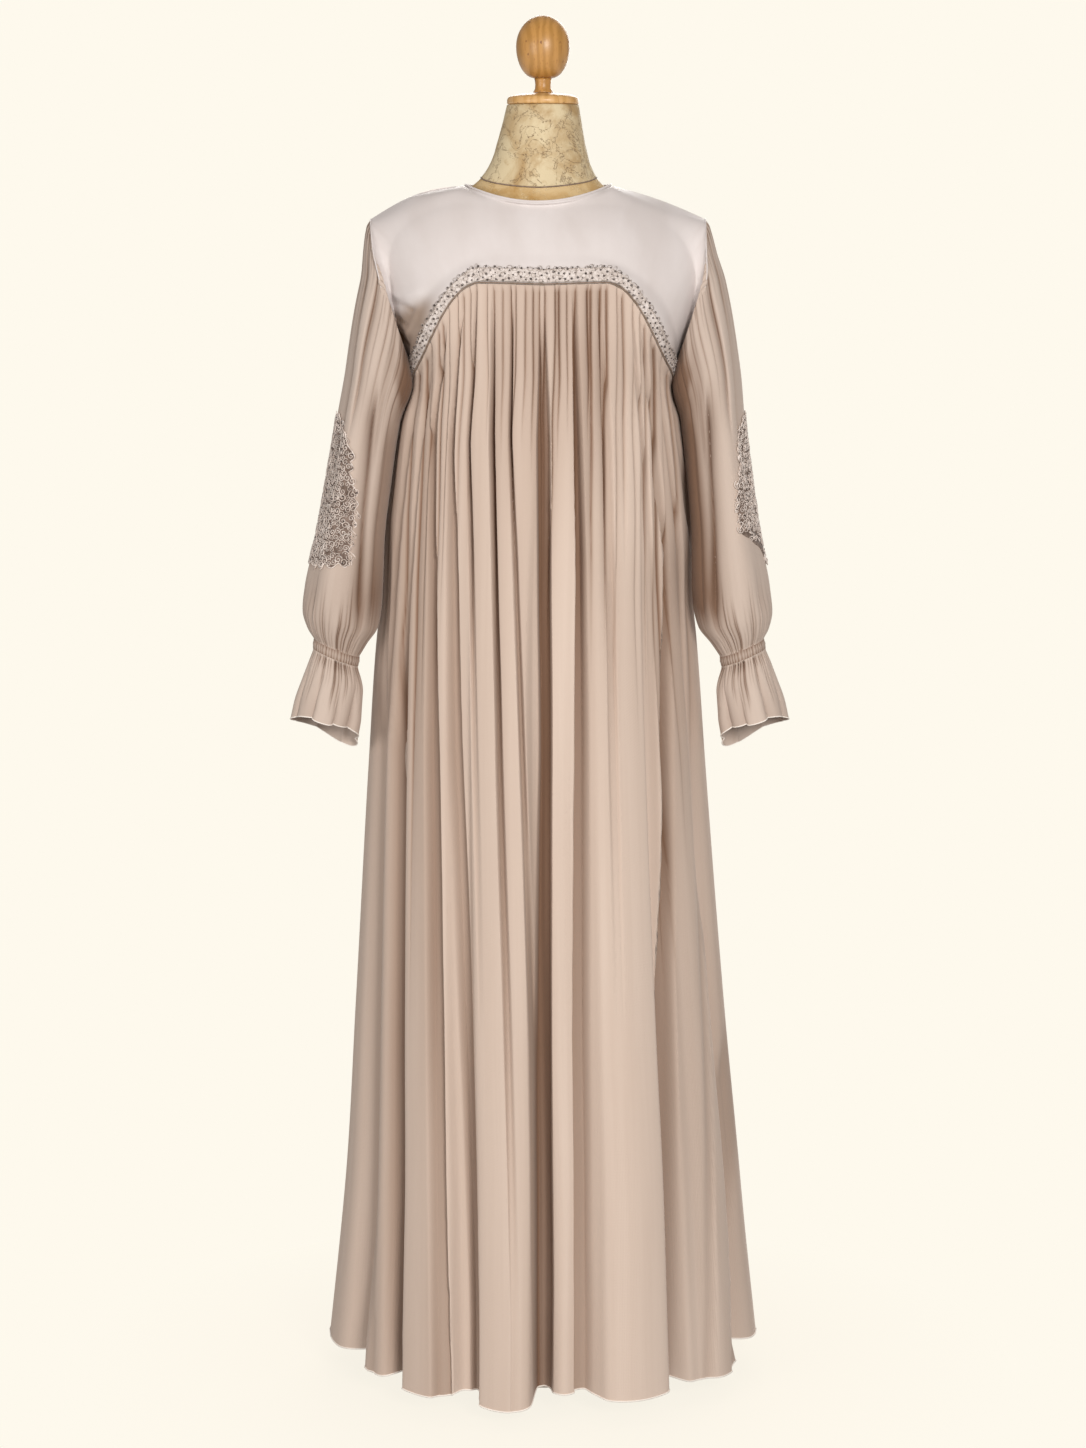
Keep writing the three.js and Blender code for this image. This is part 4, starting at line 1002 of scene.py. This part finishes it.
def skirt_gathers(x, z, each, facing):
    """How deep the gathers are, and their painted shade. Each runs down its own line of cloth, or slips into a long
    valley.
    """
    seed = GATHER_SEED[facing]
    depth, tone = np.zeros(x.shape), np.zeros(x.shape)
    seen = x + lean_at(z)["body"]
    lines = seen[::each]
    finest = np.maximum(0.8, 0.9 * grid_step(x))
    for k in range(1, len(lines) - 1):
        size, luck, strength = chance(k, seed + 1), chance(k, seed + 2), chance(k, seed + 3)
        pitch = (lines[k + 1] - lines[k - 1]) / 2
        side = between(np.abs(lines[k, 0]), 66, 112)
        drop = z[each * k, 0] - z[each * k]
        gone = mix(mix(190, 560, size), mix(380, 900, size), side)
        life = between(drop, 0, 5) * (1 - between(drop, 0.3 * gone, gone))
        path = lines[k] + 0.15 * pitch * wander(drop / 120 + 5 * k, seed + 4) * between(drop, 8, 110)
        middles = []
        for _, *rows in LONG_VALLEYS[facing]:
            left, right, _ = valley_edges(rows, z[each * k])
            middles.append((left + right) / 2)
        nearest = min(middles, key=lambda middle: abs(middle[0] - lines[k, 0]))
        slip = np.exp(-(((nearest[0] - lines[k, 0]) / 9) ** 2)) * between(drop, 30, 220) * (1 - side)
        path = mix(path, nearest, 0.8 * slip)
        crisp, soft = mix(0.06, 0.1, luck) * pitch, mix(0.3, 0.75, size) * pitch
        left, right = (crisp, soft) if chance(k, seed + 5) > 0.5 else (soft, crisp)
        off = seen - path
        depth += mix(*GATHER_DEPTH, strength) * life * crease(off, np.maximum(left, finest), right)
        # Painted shade: a dark line in each valley, and a softer darkening over its shoulders.
        line = mix(*LINE_SHADE, strength)
        band = mix(0.03, mix(*SHOULDER_SHADE, side), size**3)
        tone += life * (line * crease(off, finest, finest) + band * crease(off, 1.4 * left, 1.4 * right))
    return depth, tone


# How far in mm a long valley's painted shade reaches past its edges.
SHADE_REACH = 11


def skirt_valleys(x, z, facing):
    """How deep the long valleys are that run from the seam to the hem, each with a flat floor, and their painted
    shade.
    """
    depth, tone = np.zeros(x.shape), np.zeros(x.shape)
    drop = z[:, :1] - z
    seen = x + lean_at(z)["body"]
    soft = mix(2.2, 7.0, between(-z, -1300, -500))
    finest = np.maximum(1.2, 1.4 * grid_step(x))
    for k, (crisp, *rows) in enumerate(LONG_VALLEYS[facing]):
        left, right, deepest = valley_edges(rows, z)
        off = seen - 0.8 * wander(z / 170 + 7 * k, 61)
        near = [finest if crisp == side else soft * (0.5 if crisp == "both" else 1) for side in ("left", "right")]
        floor = ease((off - left) / near[0] + 0.5) * ease((right - off) / near[1] + 0.5)
        depth += deepest * between(drop, 0, 60) * floor
        # Painted shade over the valley's floor and a little past its edges, stronger where the valley is deeper.
        beyond = np.where(off < left, np.exp(-(left - off) / SHADE_REACH), 1)
        beyond = beyond * np.where(off > right, np.exp((off - right) / -SHADE_REACH), 1)
        if crisp != "both":
            beyond = beyond * (ease((off - left) / 1.5 + 0.5) if crisp == "left" else ease((right - off) / 1.5 + 0.5))
        tone += 0.05 * deepest * between(drop, 0, 90) * mix(beyond, floor, 0.62)
    return depth, tone


FOLD_ROUNDING = 7.0
# The most that a fold's painted shade may take of the cloth's lit colour.
MOST_SHADE = 0.92
# How much painted shade the skirt takes beside each sleeve, under the yoke's seam, and in broad uneven panels,
# and how much lighter the front's left side is painted.
SLEEVE_SHADE = {"left": 0.1, "right": 0.2}
SEAM_SHADE = {"middle": 0.17, "sides": 0.04}
PANEL_SHADE = 0.14
PALE_SIDE = 0.07


def rounded(values, along, reach):
    """Evens values out over reach mm along the hem, so that no fold has a hard corner."""
    weight = np.exp(-(((along - along.T) / reach) ** 2)) * np.gradient(along[:, 0])
    return weight @ values / weight.sum(axis=1, keepdims=True)


def skirt_surface(facing, rows=84, each=14):
    run, places = seam_share(facing)
    share = places_between(gather_lines(GATHERS[facing], GATHER_SEED[facing]), each)[:, None]
    s = np.interp(share, run, places)
    v = np.linspace(0, 1, rows)
    v = mix(v, v**2, 0.45)[None, :]
    start = skirt_start(s, facing)
    fold = HEM_FOLDS[facing](s)
    run = np.cumsum(np.hypot(*(np.gradient(fold[k][:, 0]) for k in ("hem", "depth"))))[:, None]
    inside = 1 - between(np.abs(s), 0.96, 0.99)
    fold = {name: mix(value, rounded(value, run, FOLD_ROUNDING), inside) for name, value in fold.items()}
    z = mix(start[..., 2], fold["low"], v)
    # Each line of cloth falls straight in front view. At the sides it keeps to the body's own outline.
    top_x, _, top_z = start[-1, 0]
    side = mix(top_x, HEM_WIDTH, (top_z - z) / (top_z - HEM_CORNER))
    to_side = np.sign(s) * (body_at(z)["width"] + side_fullness(z) - side) * between(np.abs(s), 0.7, 1)
    x = mix(start[..., 0], fold["hem"], v) + to_side
    widened = np.abs(x) * body_at(z)["width"] / (body_at(z)["width"] + side_fullness(z))
    y = facing * body_depth(widened, z, facing)
    gathers, gather_painted_shade = skirt_gathers(x, z, each, facing)
    valleys, valley_painted_shade = skirt_valleys(x, z, facing)
    small = (gathers + valleys) * (1 - between(np.abs(s), 0.955, 1))
    large = fold["depth"] * np.clip((v - FOLD_START) / (1 - FOLD_START), 0, 1)
    keep = 1 - (large + small) / np.maximum(np.hypot(x, y), 1)
    p = vector(x * keep, y * keep, z)
    off_seam = start - p[:, :1]
    p = on_side(p + off_seam * (1 - ease(v / SEAM_BLEND))[..., None], facing)
    # Painted shadow of the sleeves on the skirt's sides.
    beside = np.where(x > 0, SLEEVE_SHADE["left"], SLEEVE_SHADE["right"])
    beside = beside * between(np.abs(x), 145, 180) * between(z, 930, 1060)
    drop = z[:, :1] - z
    # Painted shade under the yoke's seam, most in the middle.
    near_seam = mix(SEAM_SHADE["middle"], SEAM_SHADE["sides"], between(np.abs(x - 10), 40, 110))
    near_seam = near_seam * (1 - between(drop, 30, 320))
    # Painted shade in broad, uneven panels.
    panels = PANEL_SHADE * between(wander(share * 11 + 0.3 * wander(z / 300, 92), 91), -0.3, 0.95)
    panels = panels * between(drop, 20, 400)
    # On the front's left side, from the waist up to the bust, the painted shade is lighter and its panels evener,
    # melting away before the side seam.
    paler = PALE_SIDE * between(x, 50, 95) * (1 - between(s, 0.86, 0.99))
    paler = paler * rise(z, 1000, 1090, 1190, 1260) * (facing < 0)
    panels = panels * (1 - 9 * paler)
    # deep is the skirt's painted shade.
    deep = np.clip(1.1 * gather_painted_shade + valley_painted_shade + beside + near_seam + panels - paler, 0, MOST_SHADE)
    if facing > 0:
        p, deep = p[::-1], deep[::-1]
    return p, deep


# Sleeves ------------------------------------------------------------------------------------------------------------

SLEEVE_GATHERS = 56
SLEEVE_SEED = 31
GATHER_DEEPEST = {"armhole": 3.2, "wrist": 2.6, "ruffle": 2.4}
# Long folds down a sleeve: place round it, lean, start, end, depth, and left and right shoulders as shares.
SLEEVE_FOLDS = [
    (0.765, -0.125, 0.26, 0.97, 11, 0.009, 0.04), (0.63, -0.03, 0.3, 0.96, 5, 0.05, 0.02),
    (0.69, -0.02, 0.02, 0.55, 5, 0.006, 0.04), (0.83, 0.0, 0.02, 0.5, 5, 0.03, 0.006),
    (0.9, -0.02, 0.02, 0.62, 6, 0.006, 0.04), (0.86, 0.02, 0.74, 0.98, 5, 0.006, 0.04),
    (0.13, -0.02, 0.04, 0.9, 6, 0.006, 0.04), (0.27, 0.0, 0.1, 0.96, 8, 0.04, 0.006),
    (0.4, 0.02, 0.05, 0.8, 5, 0.006, 0.05),
]
# How far a sleeve's inner edge lies inside the garment's side before it is laid on it, and how far it hangs forwards.
SLEEVE_PRESS = 3.5
SLEEVE_FORWARD = 20
# How much painted shade each sleeve takes where it turns in towards the body, the place round it where that ends,
# and how much painted shade its lower part takes.
INNER_SHADE = {"right": (0.42, 0.71, 0.17), "left": (0.84, 0.72, 0.08)}


def sleeve_places(each=5):
    return places_between(gather_lines(SLEEVE_GATHERS, SLEEVE_SEED), each)[:-1][:, None]


def round_gathers(u, v, deepest, lives, seed):
    """How deep the gathers round a sleeve are, and their painted shade. lives gives how strong gather k is at v."""
    depth, tone = np.zeros(np.broadcast(u, v).shape), np.zeros(np.broadcast(u, v).shape)
    for k, line in enumerate(gather_lines(SLEEVE_GATHERS, SLEEVE_SEED)[:-1]):
        left, right = shoulders(k, seed, 1 / SLEEVE_GATHERS)
        off = (u - line + 0.5) % 1 - 0.5
        strength = lives(k, v) * mix(0.3, 1, chance(k, seed + 1))
        depth += strength * deepest * crease(off, left, right)
        tone += strength * (0.55 * crease(off, 0.003, 0.003) + 0.2 * crease(off, left, right))
    return depth, tone


def sleeve_at_places(u, v):
    """The left sleeve from armhole to wrist, with the painted shade of its gathers and folds. u goes once round from
    the outer edge, first over the back.
    """
    turn = -2 * PI * u

    def from_armhole(k, v):
        gone = mix(0.12, 0.6, chance(k, 33) ** 1.2)
        pinched = 1.9 - 0.9 * between(v, 0.015, 0.08)
        return between(v, 0, 0.01) * pinched * (1 - between(v, gone * 0.3, gone))

    def to_wrist(k, v):
        return between(v, mix(0.94, 0.74, chance(k, 35)), 0.975) * (1 - between(v, 0.994, 1.0))

    cap, cap_painted_shade = round_gathers(u, v, GATHER_DEEPEST["armhole"], from_armhole, 36)
    wrist, wrist_painted_shade = round_gathers(u, v, GATHER_DEEPEST["wrist"], to_wrist, 38)
    depth, tone = cap + wrist, 1.1 * cap_painted_shade + 1.2 * wrist_painted_shade
    for place, lean, start, end, deepest, left, right in SLEEVE_FOLDS:
        off = (u - place - lean * v + 0.5) % 1 - 0.5
        life = between(v, start, start + 0.16) * (1 - between(v, end - 0.14, end))
        depth = depth + deepest * life * crease(off, left, right)
        # Painted shade along each long fold.
        tone = tone + 0.065 * deepest * life * crease(off, left, 0.8 * right)
    long_folds = 4 * (0.5 - np.cos(5 * turn + 0.5) / 2) * rise(v, 0.12, 0.42, 0.8, 0.92)
    at = sleeve_at(v)
    resting = body_at(at["in_z"])["width"] + side_fullness(at["in_z"]) - SLEEVE_PRESS
    at["in_x"] = mix(at["in_x"], resting, rise(v, 0.0, 0.035, 0.66, 0.86))
    inner = 1 - 0.8 * np.exp(-(((u - 0.5) / 0.1) ** 2))
    p = ring_point(at, turn, (long_folds + depth) * inner)
    # The hanging sleeve rests against the garment's side, a little to the front.
    p[..., 1] -= SLEEVE_FORWARD * np.exp(-(((u - 0.5) / 0.14) ** 2)) * rise(v, 0.02, 0.14, 0.7, 0.92)
    rests = np.maximum(p[..., 0], body_side(p[..., 1], p[..., 2]) + 1.0)
    p[..., 0] = mix(p[..., 0], rests, rise(v, 0.02, 0.05, 0.9, 0.95))
    start = armhole_point(turn, 0.7) - ring_point(sleeve_at(0 * v), turn, 0)
    p = p + start * (1 - ease(v / SEAM_BLEND))[..., None]
    return p, tone


def sleeve_surface(side, rows=92):
    v = np.linspace(0, 1, rows)[None, :]
    v = mix(v, (1 - np.cos(PI * v)) / 2, 0.6)
    u = sleeve_places()
    p, tone = sleeve_at_places(u, v)
    dark, end, low = INNER_SHADE[side]
    # Painted shade where the sleeve turns in towards the body, painted shadow over the gap under the arm, and painted
    # shade over the lower part.
    turned_in_painted_shade = between(u, 0.44, 0.52) * (1 - between(u, end - 0.12, end + 0.02))
    front_edge = mix(0.685, 0.62, between(v, 0.2, 0.3))
    underarm_painted_shade = between(u, 0.44, 0.5) * (1 - between(u, front_edge - 0.07, front_edge + 0.015))
    underarm_painted_shade = underarm_painted_shade * (1 - between(v, 0.12, 0.36))
    tone = tone + dark * turned_in_painted_shade * rise(v, 0.04, 0.3, 0.8, 0.98) + underarm_painted_shade + low * between(v, 0.6, 0.86)
    return p, np.clip(tone, 0, MOST_SHADE)


def wrist_band_surface():
    u = sleeve_places()
    v = np.linspace(-0.25, 1.2, 10)[None, :]
    ruches = 0.9 * crease((u * WRIST_RUCHES + 0.3 * wander(u * WRIST_RUCHES, 43)) % 1 - 0.5, 0.16, 0.3)
    channel = 0.5 * (0.5 - np.cos(4 * PI * v) / 2)
    rounded = 1.3 * np.sin(PI * np.clip((v + 0.25) / 1.45, 0, 1))
    p = ring_point(cuff_at(v), -2 * PI * u, ruches + channel - rounded)
    p[..., 2] += 10 * (np.clip(v, 0, 1) - v)
    # Painted shade: some everywhere, more in each ruche and towards both edges of the band.
    return p, 0.16 + 0.7 * ruches + 0.25 * (1 - np.sin(PI * np.clip(v, 0, 1)))


# The ruffle's broad folds: place round it, depth, and left and right shoulders as shares.
RUFFLE_FOLDS = [
    (0.06, 6, 0.04, 0.02), (0.19, 8, 0.02, 0.06), (0.34, 8, 0.06, 0.02), (0.47, 8, 0.03, 0.05),
    (0.6, 9, 0.012, 0.05), (0.7, 7, 0.05, 0.014), (0.815, 8, 0.014, 0.06), (0.93, 6, 0.05, 0.02),
]


def ruffle_surface():
    u = sleeve_places()
    v = np.linspace(0, 1, 28)[None, :]
    turn = -2 * PI * u
    at = ruffle_at(v)

    def from_wrist(k, v):
        gone = mix(0.2, 0.95, chance(k, 45) ** 1.4)
        pinched = 2.2 - 1.2 * between(v, 0.03, 0.2)
        return between(v, 0, 0.03) * pinched * (1 - between(v, gone * 0.3, gone))

    folds = 0
    for place, deepest, left, right in RUFFLE_FOLDS:
        folds = folds + deepest * ease(v / 0.9) * crease((u - place + 0.5) % 1 - 0.5, left, right)
    fine, tone = round_gathers(u, v, GATHER_DEEPEST["ruffle"], from_wrist, 38)
    p = ring_point(at, turn, folds + fine)
    curl = np.sin(turn) * (1 - 0.5 * np.cos(turn))
    p[..., 2] += at["tilt"] * curl - 2.5 * ease(v) * np.cos(3 * turn + 0.6) + 0.3 * folds * ease(v)
    # Painted shade in the fine gathers and the broad folds.
    return p, np.clip(1.2 * tone + 0.03 * folds, 0, 0.85)


WRIST_RUCHES = 46
# Lace on the sleeves' outer sides, in divisions of the way round from the outer edge, over the front (below 0) and
# the back.
LACE_DIVISIONS = 24
LACE_COLUMNS = {"right": (-6.6, 4.5), "left": (-4.6, 5)}


def lace_places(side, columns=57, rows=61):
    front, back = LACE_COLUMNS[side]
    middle, half = (front + back) / 2, (back - front) / 2
    off = np.linspace(-1, 1, columns)[:, None]
    w = np.linspace(0, 1, rows)[None, :]
    scallop = 0.09 * np.abs(np.sin(PI * 10 * w)) + 0.1 * wander(w * 9 + np.sign(off), 47) - 0.09
    narrow = mix(0.72, 1, between(w, 0.0, 0.5))
    if side == "left":
        # The left sleeve's lace runs out to a point at its outer edge.
        narrow = narrow * (1 - 0.85 * between(w, 0.7, 1.0) * (off < 0))
    top = 0.45 + 0.05 * off**2 + 0.008 * np.abs(np.sin(PI * 3 * off))
    low = 0.762 - 0.02 * off**2 + 0.012 * np.abs(np.sin(PI * 4 * off))
    return (middle + half * off * narrow * (1 + scallop)) / LACE_DIVISIONS, mix(top, low, w)


# How thick each kind of cloth is drawn.
THICK = {"satin": 1.0, "chiffon": 0.9, "ruffle": 0.8, "net": 0.5}


# Building -----------------------------------------------------------------------------------------------------------

# Heights of the form's stacked pieces. Each is a little clear of the one below.
NECK_COVER_TOP = 1573.2
STEM_TOP, FINIAL_FOOT, FINIAL_MIDDLE, FINIAL_TOP = 1605.2, 1605.3, 1643, 1680
CAP_SHOULDER, CAP_RISE, CAP_RADIUS, FINIAL_RADIUS = 1581.2, 6.8, 42.6, 32.5


FORM_COLUMNS = 112


def form_points(z, turn, grow=0):
    """The form's surface at height z, grown outwards, with turn 0 in front."""
    at = form_at(z)
    deep = np.where(np.cos(turn) > 0, at["front"], at["back"])
    x = at["x"] + (at["width"] + grow) * signed_pow(np.sin(turn), 2 / at["power"])
    return vector(x, -(deep + grow) * signed_pow(np.cos(turn), 2 / at["power"]), z)


def build_form():
    heights = np.concatenate([np.linspace(850, 858, 4)[:-1], np.linspace(858, 1400, 28)[:-1],
                              np.linspace(1400, 1573.6, 54)])
    turn = 2 * PI * np.arange(FORM_COLUMNS)[:, None] / FORM_COLUMNS
    cover = skin("form_linen_cover", form_points(heights[None, :], turn), LINEN)
    place_on_frame(cover, "form_cover", "form_torso")

    # The neck's own cover ends in a curved edge that dips at the front and back.
    share = np.linspace(0, 1, 40)[None, :]
    low = 1487 - 12.5 * np.abs(np.cos(turn)) ** 1.5
    grow = 0.9 + 0.25 * wander(share * 9 + 0 * turn, 51) * np.sin(3 * turn)
    neck = form_points(mix(low, NECK_COVER_TOP, share), turn, grow)
    place_on_frame(skin("form_neck_cover", neck, PARCHMENT), "form_cover")
    place_on_frame(roll("form_neck_seam", neck[:, 0], 0.8, PIPING_CORD, closed=True), "form_cover")

    quarter = np.linspace(0, PI / 2, 18)
    rim = [(0.5, 1574), (40, 1574), (43, 1574.4), (43.5, 1575.2), (43.5, 1579.6),
           (CAP_RADIUS, CAP_SHOULDER)]
    crown = [(CAP_RADIUS * np.cos(a), CAP_SHOULDER + CAP_RISE * np.sin(a)) for a in quarter[1:-1]] + [(0.5, 1588)]
    place_on_frame(turned("form_cap_turned", rim + crown, PALE_BEECH), "beech", "form_cap")
    stem = [(0.5, 1588.2), (12.4, 1588.2), (11.2, 1590), (9.8, 1592.5), (9.4, 1597), (9.8, 1602), (10.6, 1605),
            (0.5, STEM_TOP)]
    place_on_frame(turned("form_stem_turned", stem, BEECH), "beech", "form_stem")
    under = [(mix(10, FINIAL_RADIUS, np.sin(a)), mix(FINIAL_MIDDLE, FINIAL_FOOT, np.cos(a))) for a in quarter]
    over = [(FINIAL_RADIUS * np.cos(a), mix(FINIAL_MIDDLE, FINIAL_TOP, np.sin(a))) for a in quarter[1:-1]]
    egg = [(0.5, FINIAL_FOOT)] + under + over + [(0.5, FINIAL_TOP)]
    place_on_frame(turned("form_finial_turned", egg, BEECH), "beech", "form_finial")
    pole = [(0.5, 12.3), (12.5, 12.3), (12.5, 849.7), (0.5, 849.7)]
    place_on_frame(turned("form_pole_tube", pole, STEEL, 48), "painted_steel", "form_pole")
    base = [(0.5, 0), (112.5, 0), (114.4, 0.8), (115, 2), (115, 4), (114.2, 5.4), (112, 6.1), (60, 9.6), (22, 11.6),
            (16, 12), (0.5, 12)]
    place_on_frame(turned("form_base_plate", base, STEEL, 128), "painted_steel", "form_base")


def build_yokes():
    on_front = []
    # The band along the lower edge, which carries the beads and thread.
    across = np.linspace(-0.985, 0.985, 260)[:, None]
    band = yoke_point(across, in_band(np.linspace(0.0, 0.86, 8)[None, :]), -1)
    ground = cloth("yoke_trim_ground", band, TRIM_GROUND, THICK["chiffon"], lift=1.5)
    on_front.append(place_on_frame(ground, "trim_thread", "beaded_trim"))
    upper = leaning(band + outward(band) * 1.3)[:, 0]
    on_front.append(place_on_frame(roll("yoke_trim_edge", upper, 0.45, THREAD), "trim_thread"))
    wide = yoke_point(across, in_band(np.linspace(-0.1, 0.8, 8)[None, :]), -1)
    for name, lift, tree, slot, sizes in (
        ("yoke_dark_beads", 1.9, DARK_BEADS, "beads", {"Spacing": 0.0059, "Bead radius": 0.0014, "Seed": 3}),
        ("yoke_pale_beads", 1.9, PALE_BEADS, "beads", {"Spacing": 0.0085, "Bead radius": 0.0009, "Seed": 9}),
        ("yoke_thread_loops", 1.7, THREAD_LOOPS, "trim_thread",
         {"Spacing": 0.0056, "Loop radius": 0.0023, "Cord radius": 0.0004, "Seed": 5}),
    ):
        on_front.append(place_on_frame(grown(name, carrier(wide, lift), tree, sizes), slot))
    # The piping is a real cord, but its dark colour along the yoke's lower edge stands in for the seam's shadow line.
    seam = yoke_point(across, np.array([[0.982, 0.99, 1.0, 1.01]]), -1)
    seam = leaning(seam + outward(seam) * 1.2)
    on_front.append(place_on_frame(roll("yoke_piping", seam[:, 1], 0.95, PIPING_CORD), "trim_thread", "seam_piping"))
    light_edge = seam[:, 0] + np.array([0, -0.5, 1.5])
    on_front.append(place_on_frame(roll("yoke_piping_edge", light_edge, 0.5, THREAD), "trim_thread"))

    # The rolled binding round the neckline.
    turn = 2 * PI * np.arange(160) / 160
    front = np.cos(turn) > 0
    deep = np.where(front, NECK["front"], NECK["back"]) - 2.2
    dip = np.where(front, NECK["dip_front"], NECK["dip_back"])
    z = NECK["side"] - dip * np.cos(turn) ** 2 + 0.6
    ring = leaning(vector((NECK["half_width"] - 2.0) * np.sin(turn), -deep * np.cos(turn), z))
    binding = roll("neck_rolled_binding", ring, 1.3, SATIN, closed=True, sides=12, tall=1.3)
    on_front.append(place_on_frame(binding, "satin", "neck_binding"))

    for facing, side, on_it in ((-1, "front", on_front), (1, "back", [])):
        points, deep = yoke_surface(facing)
        panel = cloth(f"yoke_{side}_panel", points, SATIN, THICK["satin"], deep=deep)
        place_on_frame(panel, "satin", f"yoke_{side}")


def build_skirts():
    for facing, side in ((-1, "front"), (1, "back")):
        points, deep = skirt_surface(facing)
        panel = cloth(f"skirt_{side}_panel", points, CHIFFON, THICK["chiffon"], deep=deep)
        place_on_frame(panel, "chiffon", f"skirt_{side}")
        edge = leaning(points[:, -1] + np.array([0, 0, 0.7]))
        hem = roll(f"skirt_{side}_hem", edge, 1.05, BINDING, sides=6)
        place_on_frame(hem, "chiffon")


def build_sleeves():
    for side in ("right", "left"):
        mirrored = side == "right"
        held = {"mirrored": mirrored, "leans": "sleeve"}
        points, deep = sleeve_surface(side)
        sleeve = cloth(f"sleeve_{side}_panel", points, SLEEVE_CHIFFON, THICK["chiffon"], wrap=True, deep=deep, **held)
        place_on_frame(sleeve, "chiffon", f"sleeve_{side}")

        u, v = lace_places(side)
        ground, _ = sleeve_at_places(u, v)
        # The dark net stands in for the shade between the lace cords.
        net = cloth(f"lace_{side}_net", ground, LACE_NET_WITH_PAINTED_SHADE, THICK["net"], lift=0.9, **held)
        place_on_frame(net, "lace", f"lace_{side}")
        cord = grown(f"lace_{side}_cord", carrier(ground, 1.3, **held), LACE_SCROLLS,
                     {"Spacing": 0.0064, "Scroll radius": 0.0052, "Cord radius": 0.00075, "Seed": 7 + mirrored})
        place_on_frame(cord, "lace")
        border = hung(ground + outward(ground) * 1.3, **held)
        around = np.concatenate([border[:, 0], border[-1, 1:], border[-2::-1, -1], border[0, -2:0:-1]])
        edge = roll(f"lace_{side}_edge", around, 0.75, LACE_CORD, closed=True, sides=5)
        place_on_frame(edge, "lace")
        drops = grown(f"lace_{side}_beads", carrier(ground, 1.5, **held), DARK_BEADS,
                      {"Spacing": 0.0095, "Bead radius": 0.001, "Seed": 4 + mirrored})
        place_on_frame(drops, "beads")

        band_points, band_deep = wrist_band_surface()
        band = cloth(f"wrist_{side}_band", band_points, SLEEVE_CHIFFON, THICK["chiffon"], wrap=True, deep=band_deep,
                     **held)
        place_on_frame(band, "chiffon", f"wrist_band_{side}")
        points, deep = ruffle_surface()
        ruffle = cloth(f"ruffle_{side}_panel", points, SLEEVE_CHIFFON, THICK["ruffle"], wrap=True, deep=deep, **held)
        place_on_frame(ruffle, "chiffon", f"ruffle_{side}")
        hem = roll(f"ruffle_{side}_hem", hung(points, **held)[:, -1], 0.8, BINDING, closed=True, sides=6)
        place_on_frame(hem, "chiffon")

        turn = -2 * PI * np.arange(150)[:, None] / 150
        seam = hung(armhole_point(turn, 0.2), **held)[:, 0]
        place_on_frame(roll(f"armhole_{side}_seam", seam, 0.8, SATIN, closed=True, sides=6), "satin")


# Studio -------------------------------------------------------------------------------------------------------------

HALF_FLOOR = 9000


def build_studio():
    cream = linear("#FEF9ED")
    world = bpy.data.worlds.new("studio")
    bpy.context.scene.world = world
    tree = cleared(world)
    seen = add(tree, "ShaderNodeBackground", {"Color": cream, "Strength": 1.0})
    felt = add(tree, "ShaderNodeBackground", {"Color": linear("#FAF7F4"), "Strength": 0.38})
    path = add(tree, "ShaderNodeLightPath")
    both = add(tree, "ShaderNodeMixShader", {
        0: path.outputs["Is Camera Ray"], 1: felt.outputs[0], 2: seen.outputs[0]})
    add(tree, "ShaderNodeOutputWorld", {0: both.outputs[0]})

    # The floor is pale paper: near the hem it takes a soft shadow, and further out it melts into the backdrop.
    floor_finish = bpy.data.materials.new("studio paper")
    tree = cleared(floor_finish)
    far = add(tree, "ShaderNodeVectorMath", {0: on_object(tree)}, operation="LENGTH").outputs["Value"]
    lit = add(tree, "ShaderNodeBsdfDiffuse", {"Color": linear("#FBEBDD")})
    glow = add(tree, "ShaderNodeEmission", {"Color": cream, "Strength": 1.0})
    share = between_values(tree, far, 0.27, 0.6, 0.9, 1.0)
    both = add(tree, "ShaderNodeMixShader", {0: share, 1: lit.outputs[0], 2: glow.outputs[0]})
    add(tree, "ShaderNodeOutputMaterial", {"Surface": both.outputs[0]})
    corners = HALF_FLOOR * np.array([[-1, -1, 0], [1, -1, 0], [1, 1, 0], [-1, 1, 0]], float)
    floor = mesh_object("studio_floor", corners, np.array([[0, 1, 2, 3]]), floor_finish)
    floor.visible_diffuse = False

    for name, spot, size, power in (("key", (1.15, -4.35, 2.2), 1.3, 148), ("fill", (-2.6, -3.0, 1.5), 1.6, 48),
                                    ("back", (0.6, 3.6, 2.4), 2.4, 90)):
        data = bpy.data.lights.new(name, "AREA")
        data.size = size
        data.energy = power
        data.color = linear("#FFFCF8")[:3]
        light = linked(bpy.data.objects.new(name, data))
        light.location = spot
        aim = np.array([0, 0, 0.95]) - np.array(spot)
        light.rotation_euler = Vector(aim).to_track_quat("-Z", "Y").to_euler()
    bpy.context.scene.view_settings.view_transform = "Standard"
    bpy.context.scene.view_settings.look = "None"


build_form()
build_yokes()
build_skirts()
build_sleeves()
build_studio()
